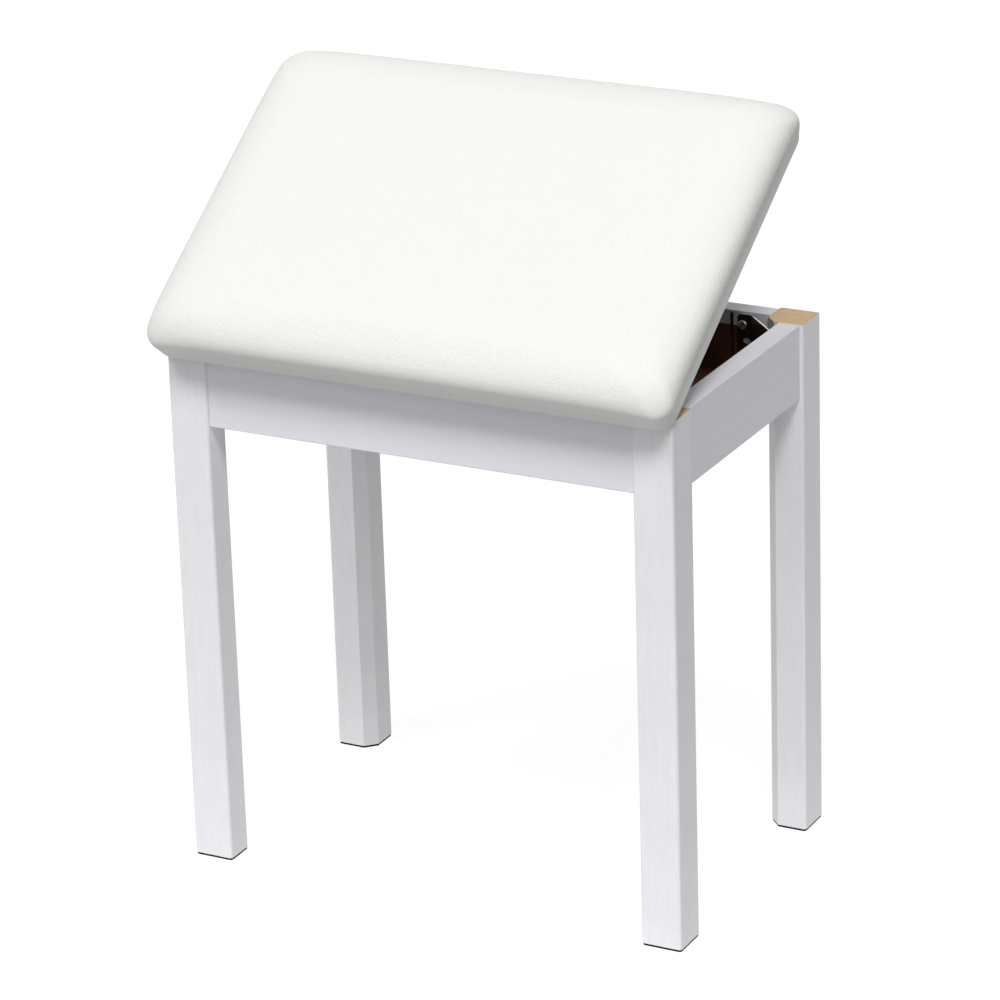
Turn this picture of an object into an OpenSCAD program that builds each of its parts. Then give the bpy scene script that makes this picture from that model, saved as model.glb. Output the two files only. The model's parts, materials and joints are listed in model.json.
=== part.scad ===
// Storage piano bench: four square legs, a box of four rails with a thin floor,
// and an upholstered seat that is hinged along one long side and held up by a lid stay.
// The front is the long side that carries the hinge. X runs along the bench to the right,
// Y to the back and Z up. The seat is drawn propped open.

/* [Bench] */
// Length over the legs, left to right
bench_w = 450; // [380:5:560]
// Depth over the legs, front to back
bench_d = 280; // [250:5:340]
// Height of the rails' top edge above the ground
frame_h = 450; // [380:5:520]

/* [Legs] */
// Side of the square leg
leg_size = 35; // [32:1:42]
// Chamfer on the leg's inner corner, along each side
leg_chamfer = 9.5; // [7:0.5:11]
// Rounding of the leg's other corners
leg_round = 2.5; // [1:0.5:4]
// Thickness of the pad under the leg
pad_t = 2; // [1.5:0.5:4]
// How far the pad stays inside the leg's outline
pad_inset = 1.5; // [1:0.5:3]

/* [Rails] */
// Height of the rails
rail_h = 64; // [60:1:90]
// Thickness of the rail board
rail_t = 18; // [15:1:20]
// How far the rails lie behind the legs' outer faces
rail_recess = 3; // [2:0.5:5]
// Rounding of the rails' long outer edges
rail_round = 1; // [0.5:0.5:2]
// Width of the saw kerf on the rail's inner face
kerf_w = 3; // [2:0.5:4]
// Depth of the saw kerf
kerf_depth = 4; // [2:0.5:6]
// Distance of the kerf's middle from the leg
kerf_from_leg = 34.5; // [32:0.5:40]
// Distance of the kerf's upper end from the rail's top edge
kerf_top = 2; // [1:0.5:4]

/* [Storage floor] */
// Thickness of the floor panel
floor_t = 3; // [2.5:0.5:5]
// Height of the groove's lower edge above the rail's bottom
floor_lip = 7.5; // [6:0.5:12]
// Depth of the groove that holds the floor
groove_depth = 5; // [4:0.5:7]
// Play of the floor panel in its groove, on each face
floor_play = 0.1; // [0.05:0.05:0.2]

/* [Corner brackets] */
// Thickness of the bracket's sheet
bracket_t = 1.5; // [1.2:0.1:2]
// Height of the bracket
bracket_h = 46; // [40:1:48]
// Distance from the rail's top edge down to the bracket
bracket_drop = 2; // [1:0.5:4]
// Distance of the bracket's bend from the leg
bracket_bend = 16; // [14:0.5:18]
// Length of the flange on the rail
bracket_flange = 12.5; // [12:0.5:14]
// Rounding of the flange's corners
bracket_round = 3; // [2:0.5:4]
// Height between the two screws of a flange
bracket_screw_pitch = 28; // [24:1:30]

/* [Bracket screws] */
// Diameter of the screw's shank
screw_d = 3.5; // [3:0.1:4]
// Length of the shank under the head
screw_l = 14; // [12:1:15]
// Diameter of the pan head
screw_head_d = 8; // [7:0.5:9]
// Height of the pan head
screw_head_h = 2.4; // [2:0.1:3]

/* [Hanger bolts] */
// Diameter of the hanger bolt
bolt_d = 6; // [5:1:6]
// Length of the bolt inside the leg
bolt_in_leg = 24; // [20:1:28]
// Outer diameter of the washer
washer_d = 14; // [12:1:16]
// Thickness of the washer
washer_t = 1.2; // [1:0.1:1.6]
// Diameter of the wing nut's hub
wing_hub_d = 10; // [9:0.5:11]
// Height of the wing nut's hub
wing_hub_h = 6; // [5:0.5:7]
// Width over the wings
wing_span = 25; // [22:1:27]

/* [Dowels] */
// Diameter of the dowels between rail and leg
dowel_d = 8; // [6:1:8]
// Length of a dowel
dowel_l = 30; // [24:1:32]
// Height between the two dowels of a joint
dowel_pitch = 32; // [28:1:34]

/* [Seat] */
// Angle at which the seat stands open
seat_angle = 33.8; // [20:0.2:60]
// Overhang of the seat board past the legs at the ends
end_overhang = 3.5; // [1:0.5:10]
// Overhang of the seat board past the legs at front and back
side_overhang = 11.5; // [6:0.5:14]
// Corner radius of the seat in plan
seat_corner = 18; // [14:1:30]
// Thickness of the seat board
board_t = 9; // [8:1:12]
// Thickness of the leather
leather_t = 1; // [0.8:0.1:1.4]
// How far the foam leans out past the board
bulge = 5.5; // [2:0.5:10]
// Height of the widest line above the seat's underside
bulge_h = 24; // [15:0.5:28]
// Height at which the rounded shoulder ends
shoulder_h = 41; // [34:1:50]
// Width of the rounded shoulder in plan
shoulder_w = 36; // [18:1:40]
// Rise of the crown above the shoulder
crown = 4; // [2:0.5:14]
// Corner radius where the shoulder ends
top_corner = 18; // [14:1:40]
// How much lower the foam is in the corners, where the leather pulls it down
corner_drop = 17; // [0:1:20]
// Width of the hem turned under the board
hem_w = 20; // [16:1:20]
// Thickness of the dust cloth under the seat
cloth_t = 0.4; // [0.3:0.1:0.6]

/* [Hinge] */
// Distance from the leg to the end of the continuous hinge
hinge_margin = 10; // [5:1:30]
// Number of knuckles
knuckles = 30; // [20:2:36]
// Outer radius of the knuckle
knuckle_r = 1.4; // [1.3:0.1:1.5]
// Diameter of the hinge pin
hinge_pin_d = 1.4; // [1.2:0.1:1.5]
// Thickness of the leaf
leaf_t = 0.7; // [0.6:0.1:0.9]
// Width of a leaf, measured from the pin's axis
leaf_w = 15.5; // [15:0.5:16]
// Number of screws in each leaf
hinge_screws = 7; // [5:1:9]
// Distance of the first screw from the hinge's end
hinge_screw_inset = 12; // [8:1:16]

/* [Lid stay] */
// Distance of the stay's rail pivot behind the hinge axis
stay_rail_y = 94; // [90:1:100]
// Depth of the stay's rail pivot below the hinge axis
stay_rail_z = 30; // [26:1:34]
// Distance of the stay's seat pivot behind the hinge axis
stay_seat_y = 90; // [80:1:100]
// Depth of the stay's seat pivot below the hinge axis
stay_seat_z = 9; // [8:0.5:12]
// Width of the stay's arms
arm_w = 12; // [10:1:13]
// Thickness of the stay's arms
arm_t = 2; // [1.5:0.1:2.5]
// Diameter of the stay's rivets
rivet_d = 5; // [4:0.5:5]

/* [Bumpers] */
// Diameter of the rubber bumpers under the seat
bumper_d = 12; // [10:1:14]

/* [Hidden] */
$fn = 48;
// Small clearances and the overrun of cuts
fit = 0.05;
play = 0.3;
over = 1;
// Colours
white_paint = [0.90, 0.90, 0.92];
white_foil = [0.84, 0.83, 0.87];
white_leather = [0.94, 0.94, 0.92];
black_rubber = [0.08, 0.08, 0.08];
black_steel = [0.10, 0.09, 0.08];
zinc = [0.72, 0.72, 0.68];
brown_board = [0.32, 0.18, 0.10];
beech = [0.80, 0.66, 0.48];
foam_yellow = [0.93, 0.88, 0.70];
plywood = [0.78, 0.64, 0.44];
black_cloth = [0.12, 0.12, 0.13];

// Places of the frame
leg_l = frame_h - pad_t;
leg_x = bench_w / 2 - leg_size / 2;
leg_y = bench_d / 2 - leg_size / 2;
long_rail_l = bench_w - 2 * leg_size;
short_rail_l = bench_d - 2 * leg_size;
rail_y = bench_d / 2 - rail_recess - rail_t / 2;
rail_x = bench_w / 2 - rail_recess - rail_t / 2;
rail_z = frame_h - rail_h;
inner_x = rail_x - rail_t / 2;
inner_y = rail_y - rail_t / 2;
floor_z = rail_z + floor_lip + floor_play;

// Places of the hinge
half_gap = knuckle_r + play;
hinge_y = -bench_d / 2 + rail_recess / 2;
hinge_z = frame_h + half_gap;
hinge_l = long_rail_l - 2 * hinge_margin;
knuckle_l = hinge_l / knuckles;
hinge_screw_pitch = (hinge_l - 2 * hinge_screw_inset) / (hinge_screws - 1);
hinge_screw_d = 2.6;
hinge_head_d = 5;
hinge_head_h = 1.2;
hinge_screw_l = 8;
hinge_screw_y = leaf_w - hinge_head_d / 2 - leaf_t;

// Places of the seat
seat_z = hinge_z + half_gap;
band_h = leather_t + board_t;
half_w = bench_w / 2 + end_overhang;
half_l = bench_d / 2 + side_overhang;
foam_gap = 0.3;
swell_corner = seat_corner + bulge / 2;
corner_steps = 5;
// Places of the points along a long and a short side, closer where the corners begin to drop
long_side_shares = [0.06, 0.16, 0.3, 0.7, 0.84, 0.94];
short_side_shares = [0.12, 0.3, 0.7, 0.88];
// Power of the distance from the middle with which the corners drop
drop_power = 9;
// Steps of the leaning side and of the shoulder, outside and inside the leather, and the crown's rings
outer_steps = [1, 6];
inner_steps = [1, 4];
crown_shares = [0.82, 0.5];

// Places of the stay
stay_y = hinge_y + stay_rail_y;
stay_z = hinge_z - stay_rail_z;
plate_x = -inner_x;
lower_arm_x = plate_x + arm_t + play;
upper_arm_x = lower_arm_x + arm_t + play;
ear_x = upper_arm_x + arm_t + play;
stay_screw_d = 3;
stay_screw_l = 10;
stay_head_d = 6;
stay_head_h = 0.9;
stay_sink = (stay_head_d - stay_screw_d) / 2;
rivet_head_share = 1.7;
rivet_head_d = rivet_d * rivet_head_share;
rivet_head_h = 1.4;
stay_plate_h = 20;
stay_plate_l = 50;
stay_screw_pitch = 36;
ear_flange = 16;
ear_l = 44;
cap_d = 17;
cap_h = 5;

// The seat's side and shoulder as offsets from the board's outline and heights above the
// underside: a flat band, a side that leans out straight, and a quarter ellipse.
// A skin depth moves the curve inwards along its normal.
lean = atan2(bulge, bulge_h - band_h);
function side(t, skin) = [bulge * t - skin * cos(lean), band_h + (bulge_h - band_h) * t + skin * sin(lean)];
function shoulder(a, skin) = [bulge - shoulder_w * (1 - cos(a)) - skin * cos(a),
    bulge_h + (shoulder_h - bulge_h) * sin(a) - skin * sin(a)];
function side_rings(skin, steps) = concat(
    [for (i = [0:steps[0] - 1]) let(t = i / steps[0])
        concat(side(t, skin), seat_corner + (swell_corner - seat_corner) * t)],
    [for (i = [0:steps[1]]) let(a = 90 * i / steps[1])
        concat(shoulder(a, skin), swell_corner + (top_corner - swell_corner) * (1 - cos(a)))]);

// One ring of points: a rectangle with rounded corners and points along its sides
function arc_points(q, hw, hl, r) = [for (i = [0:corner_steps])
    let(a = 90 * q + 90 * i / corner_steps,
        sx = (q == 0 || q == 3) ? 1 : -1,
        sy = (q < 2) ? 1 : -1)
    [sx * (hw - r) + r * cos(a), sy * (hl - r) + r * sin(a)]];
function side_points(q, hw, hl, r) =
    let(a = arc_points(q, hw, hl, r)[corner_steps],
        b = arc_points((q + 1) % 4, hw, hl, r)[0])
    [for (t = (q % 2 == 0) ? long_side_shares : short_side_shares) a + (b - a) * t];
function ring(hw, hl, r) = [for (q = [0:3]) each concat(
    arc_points(q, hw, hl, r), side_points(q, hw, hl, r))];
// The pull of the leather lowers the foam towards each corner, and not the board below it
function lowered(x, y, z) = [x, y, z - corner_drop
    * max(0, (z - band_h) / (shoulder_h - band_h))
    * pow(abs(x) / (half_w + bulge), drop_power) * pow(abs(y) / (half_l + bulge), drop_power)];
function outline_ring(p) = [for (v = ring(half_w + p[0], half_l + p[0], p[2])) lowered(v[0], v[1], p[1])];
// The crown rises as the product of two parabolas over the shoulder's outline
top_w = half_w + bulge - shoulder_w;
top_l = half_l + bulge - shoulder_w;
function crown_rise(v) = crown * (1 - pow(v[0] / top_w, 2)) * (1 - pow(v[1] / top_l, 2));
function crown_ring(share, skin) = [for (v = ring(top_w * share, top_l * share, top_corner * share))
    lowered(v[0], v[1], shoulder_h - skin + crown_rise(v))];
function flip(list) = [for (i = [len(list) - 1:-1:0]) list[i]];
function outer_rings() = concat(
    [for (p = side_rings(0, outer_steps)) outline_ring(p)],
    [for (s = crown_shares) crown_ring(s, 0)]);
function inner_rings(skin) = concat(
    [for (p = side_rings(skin, inner_steps)) outline_ring(p)],
    [for (s = crown_shares) crown_ring(s, skin)]);

// How far the open seat reaches in front of the legs, which sets the part's middle
function turned_y(v, w) = hinge_y + v * cos(seat_angle) - w * sin(seat_angle);
front_reach = min([for (p = side_rings(0, outer_steps))
    turned_y(-half_l - p[0] - hinge_y, p[1] + half_gap)]);
y_shift = -(front_reach + bench_d / 2) / 2;

// Values that other uses of this part need
echo(y_shift = y_shift, hinge_y = hinge_y + y_shift, hinge_z = hinge_z);
echo(stay_y = stay_y + y_shift, stay_z = stay_z, floor_top = floor_z + floor_t);
echo(inner_x = inner_x, inner_y = inner_y, ear_x = ear_x, half_gap = half_gap);

module placed() {
    translate([0, y_shift, 0]) children();
}
module opened() {
    placed() translate([0, hinge_y, hinge_z]) rotate([seat_angle, 0, 0])
        translate([0, -hinge_y, -hinge_z]) children();
}
// Skin of triangles over a list of rings, closed at both ends over a point
module skinned(first, rings, last) {
    n = len(rings[0]);
    m = len(rings);
    polyhedron(
        points = concat([for (r = rings, p = r) p], [first, last]),
        faces = concat(
            [for (i = [0:n - 1]) [m * n, i, (i + 1) % n]],
            [for (j = [0:m - 2], i = [0:n - 1]) [j * n + i, (j + 1) * n + i, (j + 1) * n + (i + 1) % n]],
            [for (j = [0:m - 2], i = [0:n - 1]) [j * n + i, (j + 1) * n + (i + 1) % n, j * n + (i + 1) % n]],
            [for (i = [0:n - 1]) [m * n + 1, (m - 1) * n + (i + 1) % n, (m - 1) * n + i]]),
        convexity = 6);
}
// Screw with a pan head: the head stands on z = 0 and the shank runs down
module pan_screw(d, l, head_d, head_h) {
    rotate_extrude() polygon([[0, -l], [d / 4, -l], [d / 2, -l + d], [d / 2, 0], [head_d / 2, 0],
        [head_d / 2, head_h / 2], [head_d * 0.36, head_h * 0.86], [head_d * 0.2, head_h], [0, head_h]]);
}

// Legs. The section is drawn for the front left leg, with its chamfer at the inner corner.
module leg_section(inset) {
    side = leg_size - 2 * inset;
    cut = leg_chamfer;
    difference() {
        union() {
            square([side, side - 2 * leg_round], center = true);
            square([side - 2 * leg_round, side], center = true);
            for (sx = [-1, 1], sy = [-1, 1])
                translate([sx * (side / 2 - leg_round), sy * (side / 2 - leg_round)]) circle(r = leg_round);
        }
        translate([side / 2 - cut, side / 2]) rotate(-45) translate([-over, 0]) square([side, side]);
    }
}
// A leg's frame: sx and sy are -1 or 1 for its corner of the bench
module at_corner(sx, sy) {
    placed() translate([sx * leg_x, sy * leg_y, 0])
        mirror([sx > 0 ? 1 : 0, 0, 0]) mirror([0, sy > 0 ? 1 : 0, 0]) children();
}
// Places of the two dowels in a joint, measured from the rails' top edge
dowel_z_list = [-rail_h / 2 - dowel_pitch / 2, -rail_h / 2 + dowel_pitch / 2];
rail_off = leg_size / 2 - rail_recess - rail_t / 2;
chamfer_mid = leg_size / 2 - leg_chamfer / 2;
bolt_z = frame_h - bracket_drop - bracket_h / 2;
module leg(sx, sy) {
    at_corner(sx, sy) difference() {
        translate([0, 0, pad_t]) linear_extrude(leg_l) leg_section(0);
        for (z = dowel_z_list) {
            translate([leg_size / 2 - dowel_l / 2 - fit, -rail_off, frame_h + z])
                rotate([0, 90, 0]) cylinder(d = dowel_d + 2 * fit, h = dowel_l);
            translate([-rail_off, leg_size / 2 - dowel_l / 2 - fit, frame_h + z])
                rotate([-90, 0, 0]) cylinder(d = dowel_d + 2 * fit, h = dowel_l);
        }
        translate([chamfer_mid, chamfer_mid, bolt_z]) rotate([0, 90, 45])
            translate([0, 0, -bolt_in_leg - fit]) cylinder(d = bolt_d + 2 * fit, h = bolt_in_leg + leg_size);
    }
}
module foot_pad(sx, sy) {
    color(black_rubber) at_corner(sx, sy) linear_extrude(pad_t) leg_section(pad_inset);
}

// Rails. Each is drawn along X with its inner face at +Y, its top at z = 0 and its middle at the origin.
module rail_blank(l) {
    difference() {
        translate([-l / 2, -rail_t / 2, -rail_h]) rotate([90, 0, 90]) linear_extrude(l) rail_section();
        for (s = [-1, 1]) {
            translate([s * (l / 2 - kerf_from_leg) - kerf_w / 2, rail_t / 2 - kerf_depth, -rail_h - over])
                cube([kerf_w, kerf_depth + over, rail_h + over - kerf_top]);
            for (z = dowel_z_list)
                translate([s * (l / 2 - dowel_l / 2 - fit), 0, z]) rotate([0, s * 90, 0])
                    cylinder(d = dowel_d + 2 * fit, h = dowel_l);
            for (k = [-1, 1])
                translate([s * (l / 2 - bracket_bend - bracket_flange * screw_share), rail_t / 2,
                    -bracket_drop - bracket_h / 2 + k * bracket_screw_pitch / 2])
                    rotate([90, 0, 0]) translate([0, 0, -over])
                        cylinder(d = screw_d + 2 * fit, h = screw_l - bracket_t + over + fit);
        }
    }
}
// Place of the screw along the bracket's flange
screw_share = 0.62;
// Rail in section: y from the outer face, z from the bottom, with the groove in the inner face
module rail_section() {
    difference() {
        union() {
            translate([rail_round, 0]) square([rail_t - rail_round, rail_h]);
            translate([0, rail_round]) square([rail_t, rail_h - 2 * rail_round]);
            for (z = [rail_round, rail_h - rail_round]) translate([rail_round, z]) circle(r = rail_round);
        }
        translate([rail_t - groove_depth, floor_lip]) square([groove_depth + over, floor_t + 2 * floor_play]);
    }
}
module front_rail() {
    color(white_foil) placed() translate([0, -rail_y, frame_h]) difference() {
        rail_blank(long_rail_l);
        for (i = [0:hinge_screws - 1])
            translate([hinge_screw_x(i), hinge_y + hinge_screw_y + rail_y, 0]) mirror([0, 0, 1])
                translate([0, 0, -over]) cylinder(d = hinge_screw_d + 2 * fit, h = hinge_screw_l + over);
    }
}
module rear_rail() {
    color(white_foil) placed() translate([0, rail_y, frame_h]) rotate(180) rail_blank(long_rail_l);
}
module left_rail() {
    color(white_foil) placed() translate([-rail_x, 0, frame_h]) rotate(-90) difference() {
        rail_blank(short_rail_l);
        for (s = [-1, 1])
            translate([-stay_y - s * stay_screw_pitch / 2, rail_t / 2 + over, stay_z - frame_h])
                rotate([90, 0, 0]) cylinder(d = stay_screw_d + 2 * fit, h = stay_screw_l + over);
    }
}
module right_rail() {
    color(white_foil) placed() translate([rail_x, 0, frame_h]) rotate(90) rail_blank(short_rail_l);
}
// Floor panel in the four grooves, with its corners notched round the legs
module storage_floor() {
    w = 2 * (inner_x + groove_depth - floor_play);
    d = 2 * (inner_y + groove_depth - floor_play);
    notch = leg_size + play;
    color(brown_board) placed() translate([0, 0, floor_z]) difference() {
        translate([-w / 2, -d / 2, 0]) cube([w, d, floor_t]);
        for (sx = [-1, 1], sy = [-1, 1])
            translate([sx * bench_w / 2, sy * bench_d / 2, floor_t / 2])
                cube([2 * notch, 2 * notch, floor_t + 2 * over], center = true);
    }
}
module rail_dowels() {
    gap = 2 * fit;
    color(beech) placed() for (z = dowel_z_list, sx = [-1, 1], sy = [-1, 1]) {
        translate([sx * (long_rail_l / 2), sy * rail_y, frame_h + z]) rotate([0, 90, 0])
            cylinder(d = dowel_d, h = dowel_l - 2 * gap, center = true);
        translate([sx * rail_x, sy * (short_rail_l / 2), frame_h + z]) rotate([90, 0, 0])
            cylinder(d = dowel_d, h = dowel_l - 2 * gap, center = true);
    }
}

// Corner brackets, drawn for the front left corner. The sheet runs along one rail, bends to cross
// the corner in front of the leg's chamfer, and runs along the other rail.
// Plan point where the inner faces of the two rails would meet, seen from the leg's middle
in_x = leg_size / 2;
in_y = -leg_size / 2 + rail_recess + rail_t;
function swap(p) = [p[1], p[0]];
module bracket_plan() {
    bend = [in_x + bracket_bend, in_y];
    end = [in_x + bracket_bend + bracket_flange, in_y];
    t = bracket_t;
    slant = t * tan(22.5);
    polygon([bend, end, end + [0, t], bend + [slant, t], swap(bend) + [t, slant], swap(end) + [t, 0],
        swap(end), swap(bend)]);
}
plate_mid = (in_x + bracket_bend + in_y) / 2;
module flange_trim() {
    r = bracket_round;
    reach = in_x + bracket_bend + bracket_flange;
    for (k = [0, 1]) mirror([0, 0, k]) translate([reach - r, in_y, bracket_h / 2 - r])
        rotate([-90, 0, 0]) translate([0, 0, -over]) difference() {
            translate([0, -r - over, 0]) cube([r + over, r + over, bracket_t + 2 * over]);
            translate([0, 0, -over]) cylinder(r = r, h = bracket_t + 4 * over);
        }
    for (k = [-1, 1]) translate([in_x + bracket_bend + bracket_flange * screw_share, in_y,
        k * bracket_screw_pitch / 2]) rotate([-90, 0, 0])
            translate([0, 0, -over]) cylinder(d = screw_d + 2 * play, h = bracket_t + 2 * over);
}
module corner_bracket(sx, sy) {
    color(black_steel) at_corner(sx, sy) translate([0, 0, bolt_z]) difference() {
        translate([0, 0, -bracket_h / 2]) linear_extrude(bracket_h) bracket_plan();
        flange_trim();
        mirror([1, -1, 0]) flange_trim();
        translate([plate_mid, plate_mid, 0]) rotate([0, 90, 45]) translate([0, 0, -over])
            cylinder(d = bolt_d + 2 * play, h = bracket_t + 2 * over);
    }
}
module bracket_screws() {
    color(zinc) for (sx = [-1, 1], sy = [-1, 1], k = [-1, 1], turn = [0, 1])
        at_corner(sx, sy) mirror([turn, -turn, 0])
            translate([in_x + bracket_bend + bracket_flange * screw_share, in_y + bracket_t,
                bolt_z + k * bracket_screw_pitch / 2])
                rotate([-90, 0, 0]) pan_screw(screw_d, screw_l, screw_head_d, screw_head_h);
}
// Distance from the chamfer to the bracket's inner side, along the bolt
bolt_reach = (plate_mid - chamfer_mid) * sqrt(2) + bracket_t;
bolt_tail = washer_t + wing_hub_h + bolt_d / 2;
module along_bolt(sx, sy, from) {
    at_corner(sx, sy) translate([chamfer_mid, chamfer_mid, bolt_z]) rotate([0, 90, 45])
        translate([0, 0, from]) children();
}
module hanger_bolts() {
    tip = bolt_d / 4;
    color(zinc) for (sx = [-1, 1], sy = [-1, 1]) along_bolt(sx, sy, -bolt_in_leg)
        rotate_extrude() polygon([[0, 0], [bolt_d / 6, 0], [bolt_d / 2, bolt_d],
            [bolt_d / 2, bolt_in_leg + bolt_reach + bolt_tail - tip],
            [bolt_d / 2 - tip / 2, bolt_in_leg + bolt_reach + bolt_tail],
            [0, bolt_in_leg + bolt_reach + bolt_tail]]);
}
module bolt_washers() {
    color(zinc) for (sx = [-1, 1], sy = [-1, 1]) along_bolt(sx, sy, bolt_reach) difference() {
        cylinder(d = washer_d, h = washer_t);
        translate([0, 0, -over]) cylinder(d = bolt_d + play, h = washer_t + 2 * over);
    }
}
wing_turn = 55;
// Wing nut: a coned hub and two wings that rise outwards
module wing_nut() {
    r = wing_hub_d / 2;
    s = wing_span / 2;
    t = wing_hub_h / 3;
    difference() {
        union() {
            cylinder(d1 = wing_hub_d, d2 = wing_hub_d * 0.8, h = wing_hub_h);
            for (k = [0, 180]) rotate(k) rotate([90, 0, 0]) translate([0, 0, -t / 2]) linear_extrude(t)
                wing_outline(r, s);
        }
        translate([0, 0, -over]) cylinder(d = bolt_d + 2 * fit, h = 3 * wing_hub_h);
    }
}
module wing_outline(r, s) {
    h = wing_hub_h;
    polygon([[r * 0.7, h * 0.15], [s * 0.75, h * 0.75], [s * 0.75, h * 1.7], [r * 0.75, h * 0.85]]);
    translate([s * 0.78, h * 1.25]) circle(r = s * 0.22);
}
module wing_nuts() {
    color(zinc) for (sx = [-1, 1], sy = [-1, 1]) along_bolt(sx, sy, bolt_reach + washer_t)
        rotate(wing_turn) wing_nut();
}

// Continuous hinge, drawn closed in the bench's own place. A leaf's plate lies on its board,
// and every second knuckle belongs to it.
function hinge_screw_x(i) = (i - (hinge_screws - 1) / 2) * hinge_screw_pitch;
module hinge_leaf(side) {
    near = knuckle_r + play;
    translate([0, hinge_y, hinge_z]) mirror([0, 0, side]) difference() {
        union() {
            translate([-hinge_l / 2, near, -half_gap]) cube([hinge_l, leaf_w - near, leaf_t]);
            for (i = [side:2:knuckles - 1]) translate([-hinge_l / 2 + i * knuckle_l + play / 2, 0, 0]) {
                rotate([0, 90, 0]) cylinder(r = knuckle_r, h = knuckle_l - play);
                translate([0, 0, -half_gap]) cube([knuckle_l - play, near + leaf_t, leaf_t + play]);
            }
        }
        translate([-hinge_l / 2 - over, 0, 0]) rotate([0, 90, 0])
            cylinder(d = hinge_pin_d + 2 * fit, h = hinge_l + 2 * over);
        for (i = [0:hinge_screws - 1]) translate([hinge_screw_x(i), hinge_screw_y, -half_gap - over])
            cylinder(d = hinge_screw_d + play, h = leaf_t + 2 * over);
    }
}
module hinge_frame_leaf() {
    color(zinc) placed() hinge_leaf(0);
}
module hinge_seat_leaf() {
    color(zinc) opened() hinge_leaf(1);
}
module hinge_pin() {
    color(zinc) placed() translate([-hinge_l / 2, hinge_y, hinge_z]) rotate([0, 90, 0])
        cylinder(d = hinge_pin_d, h = hinge_l);
}
module hinge_frame_screws() {
    color(zinc) placed() for (i = [0:hinge_screws - 1])
        translate([hinge_screw_x(i), hinge_y + hinge_screw_y, frame_h + leaf_t])
            flat_screw(hinge_screw_d, hinge_screw_l, hinge_head_d, hinge_head_h - leaf_t);
}
module hinge_seat_screws() {
    color(zinc) opened() for (i = [0:hinge_screws - 1])
        translate([hinge_screw_x(i), hinge_y + hinge_screw_y, seat_z - leaf_t]) mirror([0, 0, 1])
            flat_screw(hinge_screw_d, hinge_screw_l, hinge_head_d, hinge_head_h - leaf_t);
}
// Screw with a low head that stands on z = 0
module flat_screw(d, l, head_d, head_h) {
    rotate_extrude() polygon([[0, -l], [d / 5, -l], [d / 2, -l + d], [d / 2, 0], [head_d / 2, 0],
        [head_d / 2 - head_h / 2, head_h], [0, head_h]]);
}

// Seat, drawn closed and then opened about the hinge
// The board's corners are a little rounder than the inside of the leather, whose arcs have few faces
module seat_board() {
    r = seat_corner + leather_t;
    hw = half_w - leather_t - play / 2;
    hl = half_l - leather_t - play / 2;
    color(plywood) opened() difference() {
        translate([0, 0, seat_z + leather_t]) linear_extrude(board_t) union() {
            square([2 * hw, 2 * (hl - r)], center = true);
            square([2 * (hw - r), 2 * hl], center = true);
            for (sx = [-1, 1], sy = [-1, 1]) translate([sx * (hw - r), sy * (hl - r)]) circle(r = r);
        }
        for (i = [0:hinge_screws - 1])
            translate([hinge_screw_x(i), hinge_y + hinge_screw_y, seat_z])
                cylinder(d = hinge_screw_d + 2 * fit, h = hinge_screw_l + fit);
        for (s = [-1, 1]) translate([ear_screw_x, stay_seat_mid + s * ear_l * ear_screw_share, seat_z])
            cylinder(d = stay_screw_d + 2 * fit, h = stay_screw_l - cloth_t - leather_t);
    }
}
module seat_foam() {
    base = -leather_t - fit;
    skin = leather_t + foam_gap;
    color(foam_yellow) opened() translate([0, 0, seat_z]) skinned([0, 0, band_h],
        concat([outline_ring([base, band_h, seat_corner])], inner_rings(skin)),
        [0, 0, shoulder_h + crown - skin]);
}
// Leather cover: over the top, down the sides and in under the board
module seat_cover() {
    t = leather_t;
    hem = [-hem_w, 0, seat_corner];
    under = [[0, t, seat_corner], [-t, 0, seat_corner], hem, [-hem_w, t, seat_corner],
        [-t, t, seat_corner], [-t, band_h, seat_corner]];
    color(white_leather) opened() translate([0, 0, seat_z]) skinned([0, 0, shoulder_h + crown],
        concat(flip(outer_rings()), [for (p = under) outline_ring(p)], inner_rings(t)),
        [0, 0, shoulder_h + crown - t]);
}
// Cloth that covers the board's underside behind the hinge
module dust_cloth() {
    front = hinge_y + leaf_w + play;
    back = half_l - hem_w / 2;
    side = half_w - hem_w / 2;
    color(black_cloth) opened() difference() {
        translate([-side, front, seat_z - cloth_t]) cube([2 * side, back - front, cloth_t]);
        for (s = [-1, 1]) translate([ear_screw_x, stay_seat_mid + s * ear_l * ear_screw_share, seat_z - over])
            cylinder(d = stay_screw_d + 2 * fit, h = 2 * over);
    }
}
// The bumpers fill the gap between seat and rail, less a small clearance
bumper_h = 2 * half_gap - cloth_t - play / 3;
module seat_bumpers() {
    x = half_w - hem_w - 2 * bumper_d;
    color(black_rubber) opened() for (sx = [-1, 1])
        translate([sx * x, rail_y, seat_z - cloth_t - bumper_h]) difference() {
            cylinder(d1 = bumper_d * 0.8, d2 = bumper_d, h = bumper_h);
            translate([0, 0, -over]) cylinder(d = bumper_d / 4, h = over + bumper_h / 3);
        }
}

// Lid stay at the left rail: two arms on four pivots. The hinge axis, the rail pivot, the knee and
// the seat pivot are the corners of a parallelogram, so the lower arm always turns with the seat
// and the upper arm keeps its direction.
ear_screw_x = ear_x + arm_t + ear_flange * 0.55;
ear_screw_share = 0.34;
stay_seat_mid = hinge_y + stay_seat_y;
seat_pivot_l = sqrt(stay_seat_y * stay_seat_y + stay_seat_z * stay_seat_z);
rail_pivot_l = sqrt(stay_rail_y * stay_rail_y + stay_rail_z * stay_rail_z);
seat_pivot_turn = atan2(-stay_seat_z, stay_seat_y) + seat_angle;
rail_pivot_turn = atan2(-stay_rail_z, stay_rail_y);
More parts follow.
